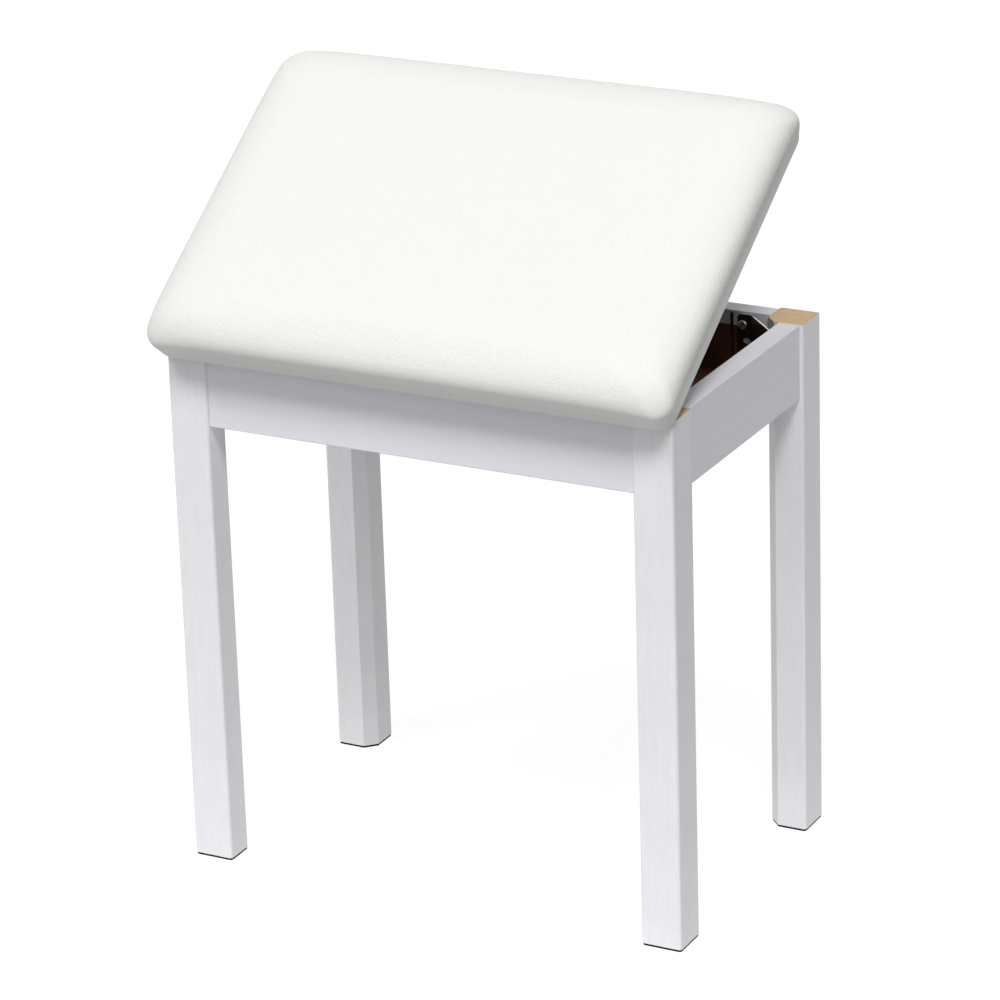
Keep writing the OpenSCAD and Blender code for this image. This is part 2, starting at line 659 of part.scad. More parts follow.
// Children are drawn in the Y-Z plane of the stay, with X as their depth
module in_stay(x, y, z, turn) {
    placed() translate([x, y, z]) rotate([turn, 0, 0]) children();
}
// Flat arm of length l with round ends, a hole at each end and a pressed rib, lying in Y-Z
module arm(l, near_d, far_d) {
    rotate([90, 0, 90]) linear_extrude(arm_t) difference() {
        slot(0, l, arm_w);
        circle(d = near_d);
        translate([l, 0]) circle(d = far_d);
        slot(l * 0.3, l * 0.7, arm_w / 3);
    }
}
module slot(from, to, w) {
    translate([from, -w / 2]) square([to - from, w]);
    for (x = [from, to]) translate([x, 0]) circle(d = w);
}
knee_y = stay_y + seat_pivot_l * cos(seat_pivot_turn);
knee_z = stay_z + seat_pivot_l * sin(seat_pivot_turn);
open_seat_y = hinge_y + seat_pivot_l * cos(seat_pivot_turn);
open_seat_z = hinge_z + seat_pivot_l * sin(seat_pivot_turn);
module stay_lower_arm() {
    color(zinc) in_stay(lower_arm_x, stay_y, stay_z, seat_pivot_turn)
        arm(seat_pivot_l, rivet_d + 2 * fit, rivet_d + 2 * fit);
}
module stay_upper_arm() {
    color(zinc) in_stay(upper_arm_x, open_seat_y, open_seat_z, rail_pivot_turn)
        arm(rail_pivot_l, rivet_d + 2 * fit, rivet_d + 2 * play);
}
// Plate on the left rail, with countersunk holes so that the lower arm passes over the screws
module stay_rail_plate() {
    reach = (stay_plate_l - stay_plate_h) / 2;
    hole_d = stay_screw_d + play;
    color(zinc) in_stay(plate_x, stay_y, stay_z, 0) rotate([90, 0, 90]) difference() {
        linear_extrude(arm_t) slot(-reach, reach, stay_plate_h);
        translate([0, 0, -over]) cylinder(d = rivet_d + 2 * fit, h = arm_t + 2 * over);
        for (s = [-1, 1]) translate([s * stay_screw_pitch / 2, 0, 0]) {
            translate([0, 0, -over]) cylinder(d = hole_d, h = arm_t + 2 * over);
            translate([0, 0, arm_t - stay_sink])
                cylinder(d1 = hole_d, d2 = hole_d + 2 * (stay_sink + over), h = stay_sink + over);
        }
    }
}
module stay_rail_screws() {
    color(zinc) for (s = [-1, 1]) in_stay(plate_x + arm_t, stay_y + s * stay_screw_pitch / 2, stay_z, 0)
        rotate([0, 90, 0]) sunk_screw(stay_screw_d, stay_screw_l, stay_head_d);
}
// Screw with a countersunk head whose face lies at z = 0
module sunk_screw(d, l, head_d) {
    rotate_extrude() polygon([[0, -l], [d / 5, -l], [d / 2, -l + d], [d / 2, (d - head_d) / 2],
        [head_d / 2, 0], [0, 0]]);
}
// Bracket under the seat: an ear for the pivot and a flange on the board
module stay_seat_bracket() {
    drop = stay_seat_z + half_gap - cloth_t;
    color(zinc) opened() translate([ear_x, stay_seat_mid, seat_z - cloth_t]) difference() {
        union() {
            translate([0, -arm_w / 2, -drop]) cube([arm_t, arm_w, drop]);
            translate([0, 0, -drop]) rotate([0, 90, 0]) cylinder(d = arm_w, h = arm_t);
            translate([0, -ear_l / 2, -arm_t]) cube([ear_flange, ear_l, arm_t]);
        }
        translate([-over, 0, -drop]) rotate([0, 90, 0]) cylinder(d = rivet_d + 2 * fit, h = arm_t + 2 * over);
        for (s = [-1, 1]) translate([ear_screw_x - ear_x, s * ear_l * ear_screw_share, -arm_t - over])
            cylinder(d = stay_screw_d + play, h = arm_t + 2 * over);
    }
}
module stay_seat_screws() {
    color(zinc) opened() for (s = [-1, 1])
        translate([ear_screw_x, stay_seat_mid + s * ear_l * ear_screw_share, seat_z - cloth_t - arm_t])
            mirror([0, 0, 1]) flat_screw(stay_screw_d, stay_screw_l, stay_head_d, stay_head_h);
}
// Rivet along X from one sheet to another, with a head at each end
module rivet(l, head_a, head_b) {
    rotate([0, 90, 0]) union() {
        cylinder(d = rivet_d, h = l);
        translate([0, 0, -head_a]) cylinder(d = rivet_head_d, h = head_a);
        translate([0, 0, l]) cylinder(d1 = rivet_head_d, d2 = rivet_head_d * 0.7, h = head_b);
    }
}
module stay_rail_rivet() {
    color(zinc) in_stay(plate_x, stay_y, stay_z, 0) rotate([0, 90, 0])
        cylinder(d = rivet_d, h = 2 * arm_t + play + cap_h / 2);
}
module stay_friction_cap() {
    color(black_rubber) in_stay(lower_arm_x + arm_t + play, stay_y, stay_z, 0) rotate([0, 90, 0]) difference() {
        rotate_extrude() polygon([[0, 0], [cap_d / 2, 0], [cap_d / 2, cap_h * 0.6],
            [cap_d * 0.42, cap_h * 0.9], [cap_d * 0.3, cap_h], [0, cap_h]]);
        translate([0, 0, -over]) cylinder(d = rivet_d + 2 * fit, h = over + cap_h / 2 + fit);
    }
}
module stay_knee_rivet() {
    color(zinc) in_stay(lower_arm_x, knee_y, knee_z, 0) rivet(2 * arm_t + 2 * play, play, rivet_head_h);
}
module stay_seat_rivet() {
    color(zinc) in_stay(upper_arm_x - play, open_seat_y, open_seat_z, 0)
        rivet(2 * arm_t + 2 * play, play, rivet_head_h);
}

color(white_paint) leg(-1, -1);  // leg_front_left
color(white_paint) leg(1, -1);  // leg_front_right
color(white_paint) leg(-1, 1);  // leg_rear_left
color(white_paint) leg(1, 1);  // leg_rear_right
foot_pad(-1, -1);  // foot_pad_front_left
foot_pad(1, -1);  // foot_pad_front_right
foot_pad(-1, 1);  // foot_pad_rear_left
foot_pad(1, 1);  // foot_pad_rear_right
front_rail();
rear_rail();
left_rail();
right_rail();
storage_floor();
corner_bracket(-1, -1);  // corner_bracket_front_left
corner_bracket(1, -1);  // corner_bracket_front_right
corner_bracket(-1, 1);  // corner_bracket_rear_left
corner_bracket(1, 1);  // corner_bracket_rear_right
bracket_screws();
hanger_bolts();
bolt_washers();
wing_nuts();
rail_dowels();
hinge_frame_leaf();
hinge_seat_leaf();
hinge_pin();
hinge_frame_screws();
hinge_seat_screws();
seat_board();
seat_foam();
seat_cover();
dust_cloth();
seat_bumpers();
stay_rail_plate();
stay_lower_arm();
stay_upper_arm();
stay_seat_bracket();
stay_rail_rivet();
stay_knee_rivet();
stay_seat_rivet();
stay_friction_cap();
stay_rail_screws();
stay_seat_screws();
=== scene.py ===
"""Storage piano bench: the looks of the part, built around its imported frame.

The rigid pieces keep their own meshes and get materials. The leather cover, the dust cloth, the
staples, the foot pads, the screws and the bolts are surfaces worked out here from the frame's own sizes.
"""
import json
import math

import bpy
import numpy as np
from bpy.props import FloatProperty, FloatVectorProperty, IntProperty, PointerProperty
from mathutils import Matrix, Vector


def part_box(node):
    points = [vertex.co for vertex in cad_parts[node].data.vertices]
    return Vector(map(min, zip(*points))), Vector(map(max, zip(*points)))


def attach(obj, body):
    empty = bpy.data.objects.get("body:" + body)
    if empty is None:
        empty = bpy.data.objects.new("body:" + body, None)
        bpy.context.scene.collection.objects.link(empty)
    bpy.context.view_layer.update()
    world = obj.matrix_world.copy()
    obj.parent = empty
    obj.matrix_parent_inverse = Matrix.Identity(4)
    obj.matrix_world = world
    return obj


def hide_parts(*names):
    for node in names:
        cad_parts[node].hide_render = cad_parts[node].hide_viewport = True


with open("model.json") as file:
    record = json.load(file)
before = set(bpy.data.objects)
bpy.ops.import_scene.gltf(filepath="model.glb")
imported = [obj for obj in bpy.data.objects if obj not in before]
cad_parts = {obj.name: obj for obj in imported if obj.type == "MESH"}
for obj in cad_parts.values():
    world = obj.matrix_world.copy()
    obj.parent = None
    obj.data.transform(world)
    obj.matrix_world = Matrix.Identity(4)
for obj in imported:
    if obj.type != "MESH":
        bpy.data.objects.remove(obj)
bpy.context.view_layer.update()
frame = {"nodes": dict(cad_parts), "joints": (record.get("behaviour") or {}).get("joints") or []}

bl_info = {
    "name": "Storage Piano Bench",
    "version": (1, 1, 0),
    "blender": (4, 5, 0),
    "location": "View3D > Sidebar > Bench",
    "description": "Leather seat, painted wood and fittings of a piano bench with a storage box",
    "category": "Object",
}

MM = 0.001
LID = next(joint for joint in frame["joints"] if joint["name"] == "lid_hinge")
HINGE_AT = np.array(LID["pos_m"])
OPEN_ANGLE = -math.radians(LID["range_deg"][0])
CORNERS = ["front_left", "front_right", "rear_left", "rear_right"]

# Each lamp's name, the direction that its light comes from and the angle that it fills, in degrees
LAMPS = {"right_key": ((0.34, -0.5, 0.89), 16), "left_key": ((-0.34, -0.5, 0.89), 16),
         "front": ((0, -1, 0.35), 70), "top": ((0, 0, 1), 120)}
SENSOR_WIDTH, FAR_CLIP = 36.0, 60.0  # the camera's, in mm and m
FLOOR_HALF = 12.0  # half the floor's side, in m
FLOOR_GLOW, FLOOR_SHADE = 0.95, 0.1  # what the camera sees of the floor: its own light and what it reflects
LEVEL = 0.9  # a face that looks up by more than this counts as level
PORE = 1.3 * MM  # width of the pores in the lacquer's and the foil's grain

# For each node of screws: on the seat or not, the shank and the head's height in mm, the share of the
# bracket screws' pitch, the head domed or not, the head sunk or not, and the slot
SCREWS = {
    "bracket_screws": (False, 3.5, 2.4, 1.0, True, False, "zinc_screw"),
    "hinge_frame_screws": (False, 2.6, 0.5, 0.7, False, False, "hinge_steel"),
    "hinge_seat_screws": (True, 2.6, 0.5, 0.7, False, False, "hinge_steel"),
    "stay_rail_screws": (False, 3.0, 1.5, 0.8, False, True, "stay_steel"),
    "stay_seat_screws": (True, 3.0, 0.9, 0.8, False, False, "stay_steel"),
}
# Shares of a screw: its thread's root of the shank, the cross recess's reach and width of the head's
# radius, and the recess's depth of its own reach and, at most, of the head's height
SCREW_ROOT, RECESS_REACH, RECESS_WIDTH, RECESS_DEPTH, RECESS_LIMIT = 0.72, 0.68, 0.36, 0.75, 0.8
ROD_ROOT = 0.84  # a hanger bolt's root as a share of its diameter

# The leather in the cloth simulation, and the frames that it runs for
LEATHER_CLOTH = {"quality": 6, "mass": 0.25, "tension_stiffness": 12, "compression_stiffness": 12,
                 "shear_stiffness": 6, "bending_stiffness": 2, "use_pressure": True}
FRAMES = 20
CLOTH_POINTS = 145, 97  # along and across the dust cloth
STAPLE_SEED, STAPLE_TURN = 7, math.radians(6)  # the draw of the staples' turns, and their spread


# Places and meshes

def turned(points, angle):
    """Points turned about the hinge's axis, which runs along X: y and z by the angle's sine and cosine."""
    c, s = math.cos(angle), math.sin(angle)
    p = np.asarray(points, float) - HINGE_AT
    y, z = c * p[..., 1] - s * p[..., 2], s * p[..., 1] + c * p[..., 2]
    return np.stack([p[..., 0], y, z], -1) + HINGE_AT


def opened(points):
    """Points of the closed seat, carried to where the seat stands open."""
    return turned(points, OPEN_ANGLE)


def closed(points):
    """Points of the open seat, carried back to where they lie when it is shut."""
    return turned(points, -OPEN_ANGLE)


def mesh_points(mesh):
    """Every corner of a mesh as an array of rows."""
    flat = np.empty(len(mesh.vertices) * 3)
    mesh.vertices.foreach_get("co", flat)
    return flat.reshape(-1, 3)


def node_points(name):
    """Every corner of a CAD node as an array of rows."""
    return mesh_points(frame["nodes"][name].data)


def closed_box(name):
    """Lowest and highest corner of a node of the seat, measured with the seat shut."""
    points = closed(node_points(name))
    return points.min(0), points.max(0)


def islands(name):
    """The separate solids of a node. Each point starts with its own number, and every triangle gives
    its lowest number to its corners until nothing changes."""
    points = node_points(name)
    mesh = frame["nodes"][name].data
    corners = np.empty(len(mesh.loops), int)
    mesh.loops.foreach_get("vertex_index", corners)
    _, same = np.unique(np.round(points, 6), axis=0, return_inverse=True)
    same = same.ravel()
    triangles = same[corners].reshape(-1, 3)
    label = np.arange(same.max() + 1)
    while True:
        lower = label.copy()
        np.minimum.at(lower, triangles, label[triangles].min(axis=1)[:, None])
        if (lower == label).all():
            break
        label = lower
    group = label[same]
    return [points[group == g] for g in np.unique(group)]


def grid_faces(rows, columns, wrap=True):
    """Quads between neighbouring rows and columns. With wrap the last column joins the first."""
    i = np.arange(rows - 1)[:, None] * columns
    j = np.arange(columns if wrap else columns - 1)[None, :]
    k = (j + 1) % columns
    return np.stack([i + j, i + k, i + columns + k, i + columns + j], -1).reshape(-1, 4)


def fan_faces(ring_start, columns, pole, outward):
    """Triangles that close a ring over a pole."""
    j = np.arange(columns)
    a, b = ring_start + j, ring_start + (j + 1) % columns
    pole = np.full(columns, pole)
    return np.stack([b, a, pole] if outward else [a, b, pole], -1)


def skin(rings, first_pole=None, last_pole=None):
    """Points and faces of a tube of rings, closed over a pole at either end where one is given."""
    rows, columns = rings.shape[:2]
    points, faces = [rings.reshape(-1, 3)], grid_faces(rows, columns).tolist()
    count = rows * columns
    for pole, start, outward in ((first_pole, 0, True), (last_pole, (rows - 1) * columns, False)):
        if pole is not None:
            points.append(np.reshape(pole, (1, 3)))
            faces += fan_faces(start, columns, count, outward).tolist()
            count += 1
    return np.concatenate(points), faces


def copies(points, faces, places):
    """One shape repeated: places is a stack of rotation matrices and points to put it at."""
    turns, spots = places
    moved = np.einsum("kij,nj->kni", turns, points) + spots[:, None, :]
    count = len(points)
    repeated = [[i + count * k for i in face] for k in range(len(spots)) for face in faces]
    return moved.reshape(-1, 3), repeated


def new_object(name, points, faces):
    """A mesh object at the origin, in the scene."""
    mesh = bpy.data.meshes.new(name)
    mesh.from_pydata(np.asarray(points).tolist(), [], faces)
    piece = bpy.data.objects.new(name, mesh)
    bpy.context.scene.collection.objects.link(piece)
    return piece


def make_piece(name, points, faces, material, body, replaced=(), crease=40):
    """A finished piece: smooth, but sharp along edges that turn by more than crease degrees."""
    piece = new_object(name, points, faces)
    mesh = piece.data
    mesh.polygons.foreach_set("use_smooth", np.ones(len(mesh.polygons), bool))
    mesh.set_sharp_from_angle(angle=math.radians(crease))
    mesh.materials.append(material)
    mesh.update()
    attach(piece, body)
    if replaced:
        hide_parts(*replaced)
    return piece


# Materials

def linear(code):
    """Linear colour from an sRGB hex value: the standard curve, with its straight foot."""
    values = [int(code[i:i + 2], 16) / 255 for i in (1, 3, 5)]
    return [v / 12.92 if v <= 0.04045 else ((v + 0.055) / 1.055) ** 2.4 for v in values] + [1.0]


def add(tree, kind, inputs=(), **settings):
    """Adds a shader node with its settings. Inputs go by socket name or number, and each is a value or
    another node's socket, which is linked. Gives the node's outputs."""
    node = tree.nodes.new("ShaderNode" + kind)
    for key, value in settings.items():
        setattr(node, key, value)
    for key, value in dict(inputs).items():
        if isinstance(value, bpy.types.NodeSocket):
            tree.links.new(value, node.inputs[key])
        else:
            node.inputs[key].default_value = value
    return node.outputs


def empty_tree(owner):
    """The node tree of a material or world, cleared."""
    owner.use_nodes = True
    owner.node_tree.nodes.clear()
    return owner.node_tree


def new_material(name):
    """A material, its cleared tree and the bench's own coordinates in metres."""
    material = bpy.data.materials.new(name)
    tree = empty_tree(material)
    return material, tree, add(tree, "TexCoord")["Object"]


def surfaced(material, tree, colour, rough, relief, more=()):
    """Finishes a material from its colour, its roughness, any other inputs of the surface, and a relief:
    a height, its depth in millimetres and its strength."""
    height, depth, strength = relief
    bump = add(tree, "Bump", {"Height": height, "Distance": depth * MM, "Strength": strength})
    shader = add(tree, "BsdfPrincipled", {"Base Color": colour, "Roughness": rough, "Normal": bump["Normal"],
                                          **dict(more)})
    add(tree, "OutputMaterial", {"Surface": shader["BSDF"]})
    return material


def upward_share(tree):
    """How far a face looks up, from -1 to 1: the height of its own normal."""
    return add(tree, "SeparateXYZ", {0: add(tree, "NewGeometry")["True Normal"]})["Z"]


def mottled(tree, noise, dark, light, low=0.3, high=0.7):
    """A noise with the given inputs, and the colour that it mixes: dark up to the low value, and light from
    the high one."""
    fac = add(tree, "TexNoise", noise)["Fac"]
    share = add(tree, "MapRange", {"Value": fac, "From Min": low, "From Max": high})[0]
    return fac, add(tree, "Mix", {0: share, 6: dark, 7: light}, data_type="RGBA")[2]


def pu_leather(colours, grain):
    """White polyurethane-coated leather: a coated cloth, embossed with a pebble grain and pulled tight over
    foam. The pebbles are soft and shallow, so they show only where the light grazes them, and they break
    the dull gloss into a fine sparkle. Between the pebbles the colour is painted a little darker, as
    painted shade in the hollows."""
    material, tree, at = new_material("white_pu_leather")
    warp = add(tree, "TexNoise", {"Vector": at, "Scale": 0.9 / grain, "Detail": 1.0})["Color"]
    bent = add(tree, "VectorMath", {0: warp, 1: (0.9 * grain,) * 3, 2: at}, operation="MULTIPLY_ADD")[0]
    pebble = add(tree, "TexVoronoi", {"Vector": bent, "Scale": 1 / grain, "Smoothness": 0.8},
                 feature="SMOOTH_F1")["Distance"]
    fine = add(tree, "TexNoise", {"Vector": at, "Scale": 2.4 / grain, "Detail": 2.0})["Fac"]
    slow = add(tree, "TexNoise", {"Vector": at, "Scale": 0.22 / grain, "Detail": 3.0})["Fac"]
    pitted = add(tree, "Math", {0: pebble, 1: -0.8, 2: fine}, operation="MULTIPLY_ADD")[0]
    height = add(tree, "Math", {0: slow, 1: 0.8, 2: pitted}, operation="MULTIPLY_ADD")[0]
    # Painted shade: the colour turns darker between the pebbles, where the hollows of the grain lie
    deep = add(tree, "MapRange", {"Value": pebble, "From Min": 0.35, "From Max": 0.75})[0]
    colour = add(tree, "Mix", {0: deep, 6: colours.leather, 7: colours.leather_painted_shade}, data_type="RGBA")[2]
    rough = add(tree, "MapRange", {"Value": fine, "From Min": 0.3, "From Max": 0.7, "To Min": 0.44,
                                   "To Max": 0.56})[0]
    return surfaced(material, tree, colour, rough, (height, 0.34, 0.9), {"Sheen Weight": 0.05})


def fibreboard(tree, at, colours):
    """Colour of sawn fibreboard: tan, with darker and lighter fibres of about half a millimetre."""
    fibre = {"Vector": at, "Scale": 1 / (0.6 * MM), "Detail": 4.0, "Roughness": 0.7}
    tan = mottled(tree, fibre, colours.board_dark, colours.board, 0.32, 0.68)[1]
    patch = add(tree, "TexNoise", {"Vector": at, "Scale": 1 / (9 * MM), "Detail": 2.0})["Fac"]
    pale = add(tree, "MapRange", {"Value": patch, "From Min": 0.35, "From Max": 0.7, "To Max": 0.35})[0]
    return add(tree, "Mix", {0: pale, 6: tan, 7: colours.board_light}, data_type="RGBA")[2]


def brown_board(tree, at, colours):
    """Colour of dark brown fibreboard with a mottled pressed face."""
    fibre = add(tree, "TexNoise", {"Vector": at, "Scale": 1 / (1.2 * MM), "Detail": 4.0,
                                   "Roughness": 0.7})["Fac"]
    patch = add(tree, "TexNoise", {"Vector": at, "Scale": 1 / (14 * MM), "Detail": 3.0})["Fac"]
    both = add(tree, "Math", {0: fibre, 1: patch}, operation="ADD")[0]
    mottle = add(tree, "MapRange", {"Value": both, "From Min": 0.7, "From Max": 1.3})[0]
    return add(tree, "Mix", {0: mottle, 6: colours.brown_dark, 7: colours.brown}, data_type="RGBA")[2]


def streaked(tree, pores, bands, share, low, dark, light):
    """Fine pores on slower bands, each a noise with the given inputs. The bands count for a share. Gives the
    pores, both together as streaks, and the colour that the streaks mix over a span of 0.4 from the low
    value."""
    fine = add(tree, "TexNoise", {**pores, "Scale": 1 / PORE})["Fac"]
    slow = add(tree, "TexNoise", {**bands, "Detail": 2.0})["Fac"]
    streak = add(tree, "Math", {0: slow, 1: share, 2: fine}, operation="MULTIPLY_ADD")[0]
    tone = add(tree, "MapRange", {"Value": streak, "From Min": low, "From Max": low + 0.4})[0]
    return fine, streak, add(tree, "Mix", {0: tone, 6: dark, 7: light}, data_type="RGBA")[2]


def lacquered_leg(colours, top):
    """White lacquer sprayed over a square post of fibreboard with a printed grain: fine pores run up the
    post and blur the gloss. The sawn top is bare board, tan and speckled with fibres."""
    material, tree, at = new_material("white_lacquer_on_fibreboard")
    long_way = add(tree, "VectorMath", {0: at, 1: (1, 1, 1 / 30)}, operation="MULTIPLY")[0]
    pores = {"Vector": long_way, "Detail": 4.0, "Roughness": 0.7}
    clouds = {"Vector": at, "Scale": 1 / (35 * MM)}
    grain, _, paint = streaked(tree, pores, clouds, 0.5, 0.55, colours.paint_shade, colours.paint)
    height = add(tree, "SeparateXYZ", {0: at})["Z"]
    is_top = add(tree, "Math", {0: height, 1: top - 0.05 * MM}, operation="GREATER_THAN")[0]
    is_level = add(tree, "Math", {0: upward_share(tree), 1: LEVEL}, operation="GREATER_THAN")[0]
    bare = add(tree, "Math", {0: is_top, 1: is_level}, operation="MULTIPLY")[0]
    board = fibreboard(tree, at, colours)
    colour = add(tree, "Mix", {0: bare, 6: paint, 7: board}, data_type="RGBA")[2]
    gloss = add(tree, "MapRange", {"Value": grain, "From Min": 0.3, "From Max": 0.7, "To Min": 0.36,
                                   "To Max": 0.48})[0]
    rough = add(tree, "Mix", {0: bare, 2: gloss, 3: 0.85}, data_type="FLOAT")[0]
    return surfaced(material, tree, colour, rough, (grain, 0.07, 0.55))


def foil_rail(colours, name, along, inner, band, groove, rails):
    """Wood-grain foil wrapped round a board of brown fibreboard: off-white with a lilac tint and embossed
    grain along the rail. It turns over the top and ends a little way down the inner face. Below that
    line, in the kerfs and in the groove, the board is bare. A point is in a cut where it lies deeper
    behind the inner face than the foil, and no deeper than the cuts."""
    material, tree, at = new_material(name)
    squeeze = [1 / 45 if axis == along else 1 for axis in range(3)]
    long_way = add(tree, "VectorMath", {0: at, 1: squeeze}, operation="MULTIPLY")[0]
    pores = {"Vector": long_way, "Detail": 5.0, "Roughness": 0.75}
    bands = {"Vector": long_way, "Scale": 1 / (7 * MM)}
    _, streak, foil = streaked(tree, pores, bands, 0.4, 0.5, colours.foil_shade, colours.foil)
    place = add(tree, "SeparateXYZ", {0: at})
    centre, half = inner
    off = add(tree, "Math", {0: place[1 - along], 1: centre}, operation="SUBTRACT")[0]
    away = add(tree, "Math", {0: off}, operation="ABSOLUTE")[0]
    depth = add(tree, "Math", {0: away, 1: half}, operation="SUBTRACT")[0]
    upright = add(tree, "Math", {0: upward_share(tree), 1: 0.0, 2: 0.5}, operation="COMPARE")[0]
    on_face = add(tree, "Math", {0: depth, 1: 0.0, 2: rails.foil}, operation="COMPARE")[0]
    low = add(tree, "Math", {0: place["Z"], 1: (band + groove) / 2, 2: (band - groove) / 2},
              operation="COMPARE")[0]
    bare_face = add(tree, "Math", {0: on_face, 1: low}, operation="MULTIPLY")[0]
    in_cut = add(tree, "Math", {0: depth, 1: (rails.cut + rails.foil) / 2, 2: (rails.cut - rails.foil) / 2},
                 operation="COMPARE")[0]
    either = add(tree, "Math", {0: bare_face, 1: in_cut}, operation="MAXIMUM")[0]
    bare = add(tree, "Math", {0: either, 1: upright}, operation="MULTIPLY")[0]
    brown = brown_board(tree, at, colours)
    colour = add(tree, "Mix", {0: bare, 6: foil, 7: brown}, data_type="RGBA")[2]
    gloss = add(tree, "MapRange", {"Value": streak, "From Min": 0.5, "From Max": 0.9, "To Min": 0.38,
                                   "To Max": 0.5})[0]
    rough = add(tree, "Mix", {0: bare, 2: gloss, 3: 0.7}, data_type="FLOAT")[0]
    return surfaced(material, tree, colour, rough, (streak, 0.08, 0.6))


def hardboard(colours):
    """Brown hardboard, pressed smooth on its upper face: mottled, with a dull gloss."""
    material, tree, at = new_material("brown_hardboard")
    press = add(tree, "TexNoise", {"Vector": at, "Scale": 1 / (0.9 * MM), "Detail": 3.0})["Fac"]
    return surfaced(material, tree, brown_board(tree, at, colours), 0.55, (press, 0.08, 0.5))


def solid_wood(name, dark, light, spacing):
    """Planed wood: growth rings stretched along the grain, with short pores. The spacing is the rings'
    size along X, Y and Z."""
    material, tree, at = new_material(name)
    grid = add(tree, "VectorMath", {0: at, 1: [1 / s for s in spacing]}, operation="MULTIPLY")[0]
    noise = {"Vector": grid, "Scale": 1.0, "Detail": 5.0, "Roughness": 0.6}
    rings, colour = mottled(tree, noise, dark, light)
    return surfaced(material, tree, colour, 0.6, (rings, 0.08, 0.5))


def black_coated_sheet(colours):
    """Sheet steel dipped in black electrocoat after it was cut: a thin even film with a satin gloss. Faces
    that look up are mixed toward bright bare metal with a noisy breakup: wear of the sheared upper edges,
    kept to faces that look up as a painted highlight where the light falls from above."""
    material, tree, at = new_material("black_electrocoated_steel")
    peel = add(tree, "TexNoise", {"Vector": at, "Scale": 1 / (1.6 * MM), "Detail": 2.0})["Fac"]
    wear = add(tree, "TexNoise", {"Vector": at, "Scale": 1 / (2.5 * MM), "Detail": 3.0})["Fac"]
    # Painted highlight: faces that look up turn to bright bare metal, where the light from above falls on the
    # upper edges; the noise breaks it up like wear
    edge = add(tree, "Math", {0: upward_share(tree), 1: LEVEL}, operation="GREATER_THAN")[0]
    highlight_and_wear = add(tree, "MapRange", {"Value": wear, "From Min": 0.25, "From Max": 0.5, "To Min": 0.4})[0]
    bare = add(tree, "Math", {0: edge, 1: highlight_and_wear}, operation="MULTIPLY")[0]
    film = add(tree, "Mix", {0: peel, 6: colours.black, 7: colours.black_light}, data_type="RGBA")[2]
    colour = add(tree, "Mix", {0: bare, 6: film, 7: colours.steel}, data_type="RGBA")[2]
    rough = add(tree, "MapRange", {"Value": peel, "From Min": 0.3, "From Max": 0.7, "To Min": 0.3,
                                   "To Max": 0.42})[0]
    return surfaced(material, tree, colour, rough, (peel, 0.02, 0.4), {"Metallic": bare})


def plated_steel(name, bright, dull, brush, roughness):
    """Steel with a thin bright plating over the marks of its rolling or turning, which are as long along
    X, Y and Z as the brush and stretch the highlights."""
    material, tree, at = new_material(name)
    grid = add(tree, "VectorMath", {0: at, 1: [1 / s for s in brush]}, operation="MULTIPLY")[0]
    noise = {"Vector": grid, "Scale": 1.0, "Detail": 4.0, "Roughness": 0.6}
    marks, colour = mottled(tree, noise, dull, bright)
    rough = add(tree, "MapRange", {"Value": marks, "From Min": 0.3, "From Max": 0.7,
                                   "To Min": roughness - 0.06, "To Max": roughness + 0.1})[0]
    return surfaced(material, tree, colour, rough, (marks, 0.02, 0.4), {"Metallic": 1.0})


def moulded_black(name, dark, light, roughness):
    """Black rubber or nylon with the dull, faintly grained skin of its mould, which scatters most of the
    gloss and leaves the black deep."""
    material, tree, at = new_material(name)
    grit = add(tree, "TexNoise", {"Vector": at, "Scale": 1 / (0.8 * MM), "Detail": 3.0})["Fac"]
    colour = add(tree, "Mix", {0: grit, 6: dark, 7: light}, data_type="RGBA")[2]
    return surfaced(material, tree, colour, roughness, (grit, 0.06, 0.5), {"Specular IOR Level": 0.2})


def spunbond_cloth(colours):
    """Black spunbonded polypropylene, the non-woven cloth under seats: matted fibres with a grid of
    heat-pressed dots 2.4 mm apart, which catch the light as small smooth pits."""
    material, tree, at = new_material("black_nonwoven_cloth")
    fibre = add(tree, "TexNoise", {"Vector": at, "Scale": 1 / (0.6 * MM), "Detail": 4.0,
                                   "Roughness": 0.7})["Fac"]
    spot = add(tree, "TexVoronoi", {"Vector": at, "Scale": 1 / (2.4 * MM), "Randomness": 0.15})["Distance"]
    raised = add(tree, "MapRange", {"Value": spot, "From Min": 0.12, "From Max": 0.3})[0]
    shade = add(tree, "Math", {0: raised, 1: fibre}, operation="MULTIPLY")[0]
    colour = add(tree, "Mix", {0: shade, 6: colours.cloth_dark, 7: colours.cloth}, data_type="RGBA")[2]
    height = add(tree, "Math", {0: raised, 1: fibre}, operation="ADD")[0]
    return surfaced(material, tree, colour, 0.85, (height, 0.1, 0.6), {"Sheen Weight": 0.25})


# Shapes

def rounded_outline(half_w, half_l, radius, corner, long_side, short_side):
    """Rings of points round rectangles with rounded corners. Corner q is a quarter circle from angle 90q,
    and the straight run after it is split evenly. The sizes are arrays with one value for each ring."""
    half_w, half_l, radius = (np.asarray(v, float)[:, None] for v in (half_w, half_l, radius))
    arcs = []
    for q, (sx, sy) in enumerate(((1, 1), (-1, 1), (-1, -1), (1, -1))):
        angle = np.radians(90 * q + 90 * np.arange(corner + 1) / corner)[None, :]
        arcs.append(np.stack([sx * (half_w - radius) + radius * np.cos(angle),
                              sy * (half_l - radius) + radius * np.sin(angle)], -1))
    runs = []
    for q in range(4):
        steps = long_side if q % 2 == 0 else short_side
        share = (np.arange(1, steps) / steps)[None, :, None]
        start, stop = arcs[q][:, -1:, :], arcs[(q + 1) % 4][:, :1, :]
        runs += [arcs[q], start + (stop - start) * share]
    return np.concatenate(runs, axis=1)


